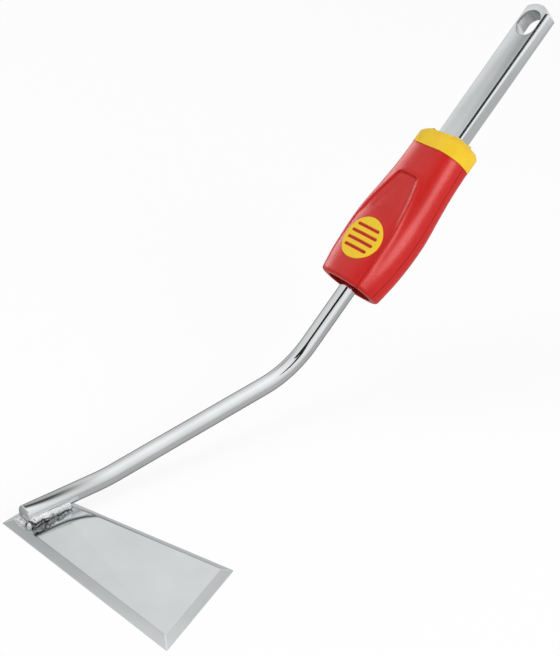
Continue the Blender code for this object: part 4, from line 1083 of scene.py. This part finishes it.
def makeMetal(name, look, turn, mark=None):
    # metal: streaks along the turned Y axis, soft clouds of tone, fine pits and where asked a darker mark
    look = {**metals["plain"], **metals[look]}
    material, shader, wire, place = newFinish(name, 1.0, rimTint=look["rim"])
    turned = wire.node("Mapping", {"vector_type": "TEXTURE"}, {"Vector": place, "Rotation": turn})
    drawn = wire.node("Mapping", None, {"Vector": turned, "Scale": (1.0, metals["lineStretch"], 1.0)})
    lines = wire.noise(drawn, metals["lines"], 4.0, 0.6)
    soft = wire.noise(place, look["cloudScale"])
    fine = wire.noise(place, look["pitScale"], 3.0, 0.6)
    streak, pits, cloud = look["streak"], look["pits"], look["cloud"]
    parts, shares = (soft, lines, fine), np.array((1.0, streak, pits))
    tone = spread(0.5, parts, shares * metals["toneGains"]).clip()
    colour = wire.blend(tone, shade(look["colour"], 1 - cloud), shade(look["colour"], 1 + cloud))
    roughness = spread(look["roughness"], parts, shares * metals["roughGains"])
    # the darker marks: painted reflections on rod and blade, painted shade in the tang's slot, and the weld
    # darker towards the blade
    if mark:
        dark = mark(wire, place)
        colour = wire.blend(dark, colour, shade(look["colour"], look["markTone"]))
        roughness = roughness + dark * look["markRough"]
    connect(wire, shader, colour, roughness.clip(), lines * streak + fine * pits, *metals["bump"])
    return material


def dress(thing, finish):
    thing.data.materials.clear()
    thing.data.materials.append(finishes[finish])


level, tilted = (0.0, 0.0, 0.0), (handleRise, 0.0, 0.0)
alongRod = (math.radians(rod["riseAngle"]), 0.0, 0.0)
acrossBlade = (0.0, 0.0, math.radians(blade["front"][1] - 90))
finishes = {
    "red_plastic": makePlastic("red_plastic", plastic["red"]),
    "yellow_plastic": makePlastic("yellow_plastic", plastic["yellow"]),
    "chromed_rod": makeMetal("chromed_rod", "chrome", alongRod, rodDarkReflection),
    "tang_steel": makeMetal("tang_steel", "tang", tilted, slotWallShade),
    "blade_steel": makeMetal("blade_steel", "blade", acrossBlade, rodMirrorLine),
    "weld_metal": makeMetal("weld_metal", "weld", level, scaleMark),
    "inner_steel": makeMetal("inner_steel", "dark", tilted),
    "zinc_steel": makeMetal("zinc_steel", "zinc", tilted),
    "weld_bright": makeMetal("weld_bright", "weld", level),
    "pad_plastic": makePlastic("pad_plastic", {**plastic["yellow"], "groove": plastic["red"]["low"]}),
}
for part in frame["record"]["subparts"]:
    dress(frame["nodes"][part["node"]], part["material_slot"])
for piece, finish in pieces:
    dress(piece, finish)
print("finishes made")


# Studio: white floor and room, soft lamps, and a tent that only gloss shows

studio = {
    "roomLight": 0.50,
    "floorReach": 7.0, "floorTone": 0.98, "floorWhite": 0.86,
    "floorFade": (0.47, 0.90, 0.478, 1.0),  # distances from the part, and how bright the gloss is there
    "lamps": (  # name, direction, distance, size, power
        ("soft_right", (0.90, 0.10, 0.42), 1.5, (1.1, 0.9), 12.5),
        ("soft_left", (-0.55, -0.45, 0.80), 1.7, (1.3, 1.3), 11.0),
    ),
    "glints": (
        ("glint_right", (0.97, -0.02, 0.20), 1.5, (1.0, 1.7), 29.0),
        ("glint_left", (-0.97, 0.05, 0.18), 1.5, (0.8, 1.2), 11.0),
    ),
    "tentRadius": 5.0, "tentRows": 32, "tentColumns": 64, "tentPole": 0.001,
    "tentGlow": (-0.35, 0.55, 0.46, 0.76),  # heights between which the glow rises, and from what to what
    "glows": (  # direction, tightness and strength; dim sides are below 0
        ((0.20, 0.38, 0.90), 5.2, 0.27), ((0.97, -0.16, 0.20), 12.0, 0.26),
        ((-0.74, 0.04, 0.67), 35.0, -0.45), ((-0.09, 0.70, 0.71), 30.0, -0.33),
    ),
    "seamTone": 0.015, "seamRadius": 4.5,
    "seam": (  # direction and half width in degrees
        (0.30, -0.25, 0.92, 12), (0.30, -0.42, 0.86, 12), (0.30, -0.55, 0.78, 12), (0.38, -0.53, 0.76, 10),
        (0.48, -0.44, 0.76, 5), (0.60, -0.29, 0.74, 6), (0.70, -0.13, 0.70, 8), (0.71, 0.05, 0.70, 7),
        (0.67, 0.19, 0.72, 2),
    ),
}
partMiddle = (np.array(cadBox[0]) + np.array(cadBox[1])) / 2


def unit(direction):
    return np.array(direction) / np.linalg.norm(direction)


def stageMaterial(name):
    material = bpy.data.materials.new(name)
    material.use_nodes = True
    tree = material.node_tree
    tree.nodes.remove(tree.nodes["Principled BSDF"])
    return material, Wire(tree)


def showLight(wire, light):
    wire.tree.links.new(light.socket, wire.tree.nodes["Material Output"].inputs["Surface"])


def finishStage(name, points, faces, material):
    mesh = bpy.data.meshes.new(name)
    mesh.from_pydata(points.tolist(), [], faces.tolist())
    mesh.materials.append(material)
    thing = bpy.data.objects.new(name, mesh)
    bpy.context.scene.collection.objects.link(thing)
    return thing


def glossOnly(thing):
    thing.visible_camera = thing.visible_diffuse = thing.visible_transmission = thing.visible_shadow = False


def rays(wire):
    kinds = ("Camera", "Glossy", "Transmission")
    seen, gloss, through = (wire.node("LightPath", None, None, "Is %s Ray" % kind) for kind in kinds)
    return seen, (gloss + through).clip()


def makeFloor():
    # matt for the lamps; mostly plain white for the camera, with enough of the matt to keep the shadow; for
    # gloss a light that is dimmer near the part
    low, reach = cadBox[0][2], studio["floorReach"]
    material, wire = stageMaterial("floor")
    cameraRay, glossRay = rays(wire)
    bright = wire.vector("DISTANCE", wire.place(), tuple(partMiddle), "Value").step(*studio["floorFade"])
    matt = wire.node("BsdfDiffuse", None, {"Color": (studio["floorTone"],) * 3 + (1.0,)})
    white = wire.node("Emission", None, {"Strength": 1.0 - glossRay * (1.0 - bright)})
    share = cameraRay * studio["floorWhite"] + glossRay
    showLight(wire, wire.node("MixShader", None, {0: share, 1: matt, 2: white}))
    corners = [(x, y, low) for x, y in ((-reach, -reach), (reach, -reach), (reach, reach), (-reach, reach))]
    finishStage("floor", np.array(corners), np.array(((0, 1, 2, 3),)), material)


def makeTent():
    # sphere round the part: its glow rises with height, plus a lobe exp(k (cos - 1)) per light or dim side
    rows, columns = studio["tentRows"], studio["tentColumns"]
    material, wire = stageMaterial("tent")
    way = wire.vector("NORMALIZE", wire.vector("SUBTRACT", wire.place(), tuple(partMiddle)))
    glow = wire.node("SeparateXYZ", None, {0: way}, "Z").step(*studio["tentGlow"])
    for towards, tightness, strength in studio["glows"]:
        nearness = wire.vector("DOT_PRODUCT", way, tuple(unit(towards)), "Value")
        glow = glow + strength * wire.math("EXPONENT", (nearness - 1.0) * tightness)
    showLight(wire, wire.node("Emission", None, {"Strength": glow}))
    points = partMiddle + studio["tentRadius"] * sphere(rows, columns, studio["tentPole"])
    glossOnly(finishStage("tent", points.reshape(-1, 3), sheetFaces(rows, columns, True), material))


def makeSeam():
    # dark seam of the tent: a ribbon through the given directions, as wide as the tangent of each half width
    table = np.array(studio["seam"])
    way = table[:, :3] / np.linalg.norm(table[:, :3], axis=1, keepdims=True)
    side = np.cross(way, np.gradient(way, axis=0))
    side /= np.linalg.norm(side, axis=1, keepdims=True)
    half = np.tan(np.radians(table[:, 3:]))
    points = partMiddle + studio["seamRadius"] * np.stack((way - side * half, way + side * half), 1)
    material, wire = stageMaterial("seam")
    showLight(wire, wire.node("Emission", None, {"Strength": studio["seamTone"]}))
    glossOnly(finishStage("seam", points.reshape(-1, 3), sheetFaces(len(table), 2, False), material))


def makeWorld():
    # half bright as a light on the part, white for the camera and in gloss
    world = bpy.data.worlds.new("studio")
    world.use_nodes = True
    wire = Wire(world.node_tree)
    cameraRay, glossRay = rays(wire)
    strength = studio["roomLight"] + (cameraRay + glossRay) * (1.0 - studio["roomLight"])
    ground = world.node_tree.nodes["Background"].inputs
    ground["Color"].default_value = (1.0, 1.0, 1.0, 1.0)
    wire.tree.links.new(strength.socket, ground["Strength"])
    bpy.context.scene.world = world


def makeLamp(name, direction, away, size, power):
    # area lamp off the part's middle, facing it and not seen in gloss
    data = bpy.data.lights.new(name, "AREA")
    data.shape = "RECTANGLE"
    data.size, data.size_y = size
    data.energy = power
    lamp = bpy.data.objects.new(name, data)
    towards = unit(direction)
    lamp.location = partMiddle + towards * away
    lamp.rotation_euler = Vector(towards).to_track_quat("Z", "Y").to_euler()
    lamp.visible_glossy = False
    bpy.context.scene.collection.objects.link(lamp)
    return lamp


def makeGlints():
    # lamps that only the gloss of the red pieces shows
    group = bpy.data.collections.new("plastic_pieces")
    for piece in redPieces:
        group.objects.link(piece)
    for look in studio["glints"]:
        lamp = makeLamp(*look)
        lamp.visible_glossy, lamp.visible_diffuse, lamp.visible_camera = True, False, False
        lamp.light_linking.receiver_collection = group


makeFloor()
makeTent()
makeSeam()
makeWorld()
for look in studio["lamps"]:
    makeLamp(*look)
makeGlints()
print("studio made")

bpy.context.scene.view_settings.view_transform = "Standard"
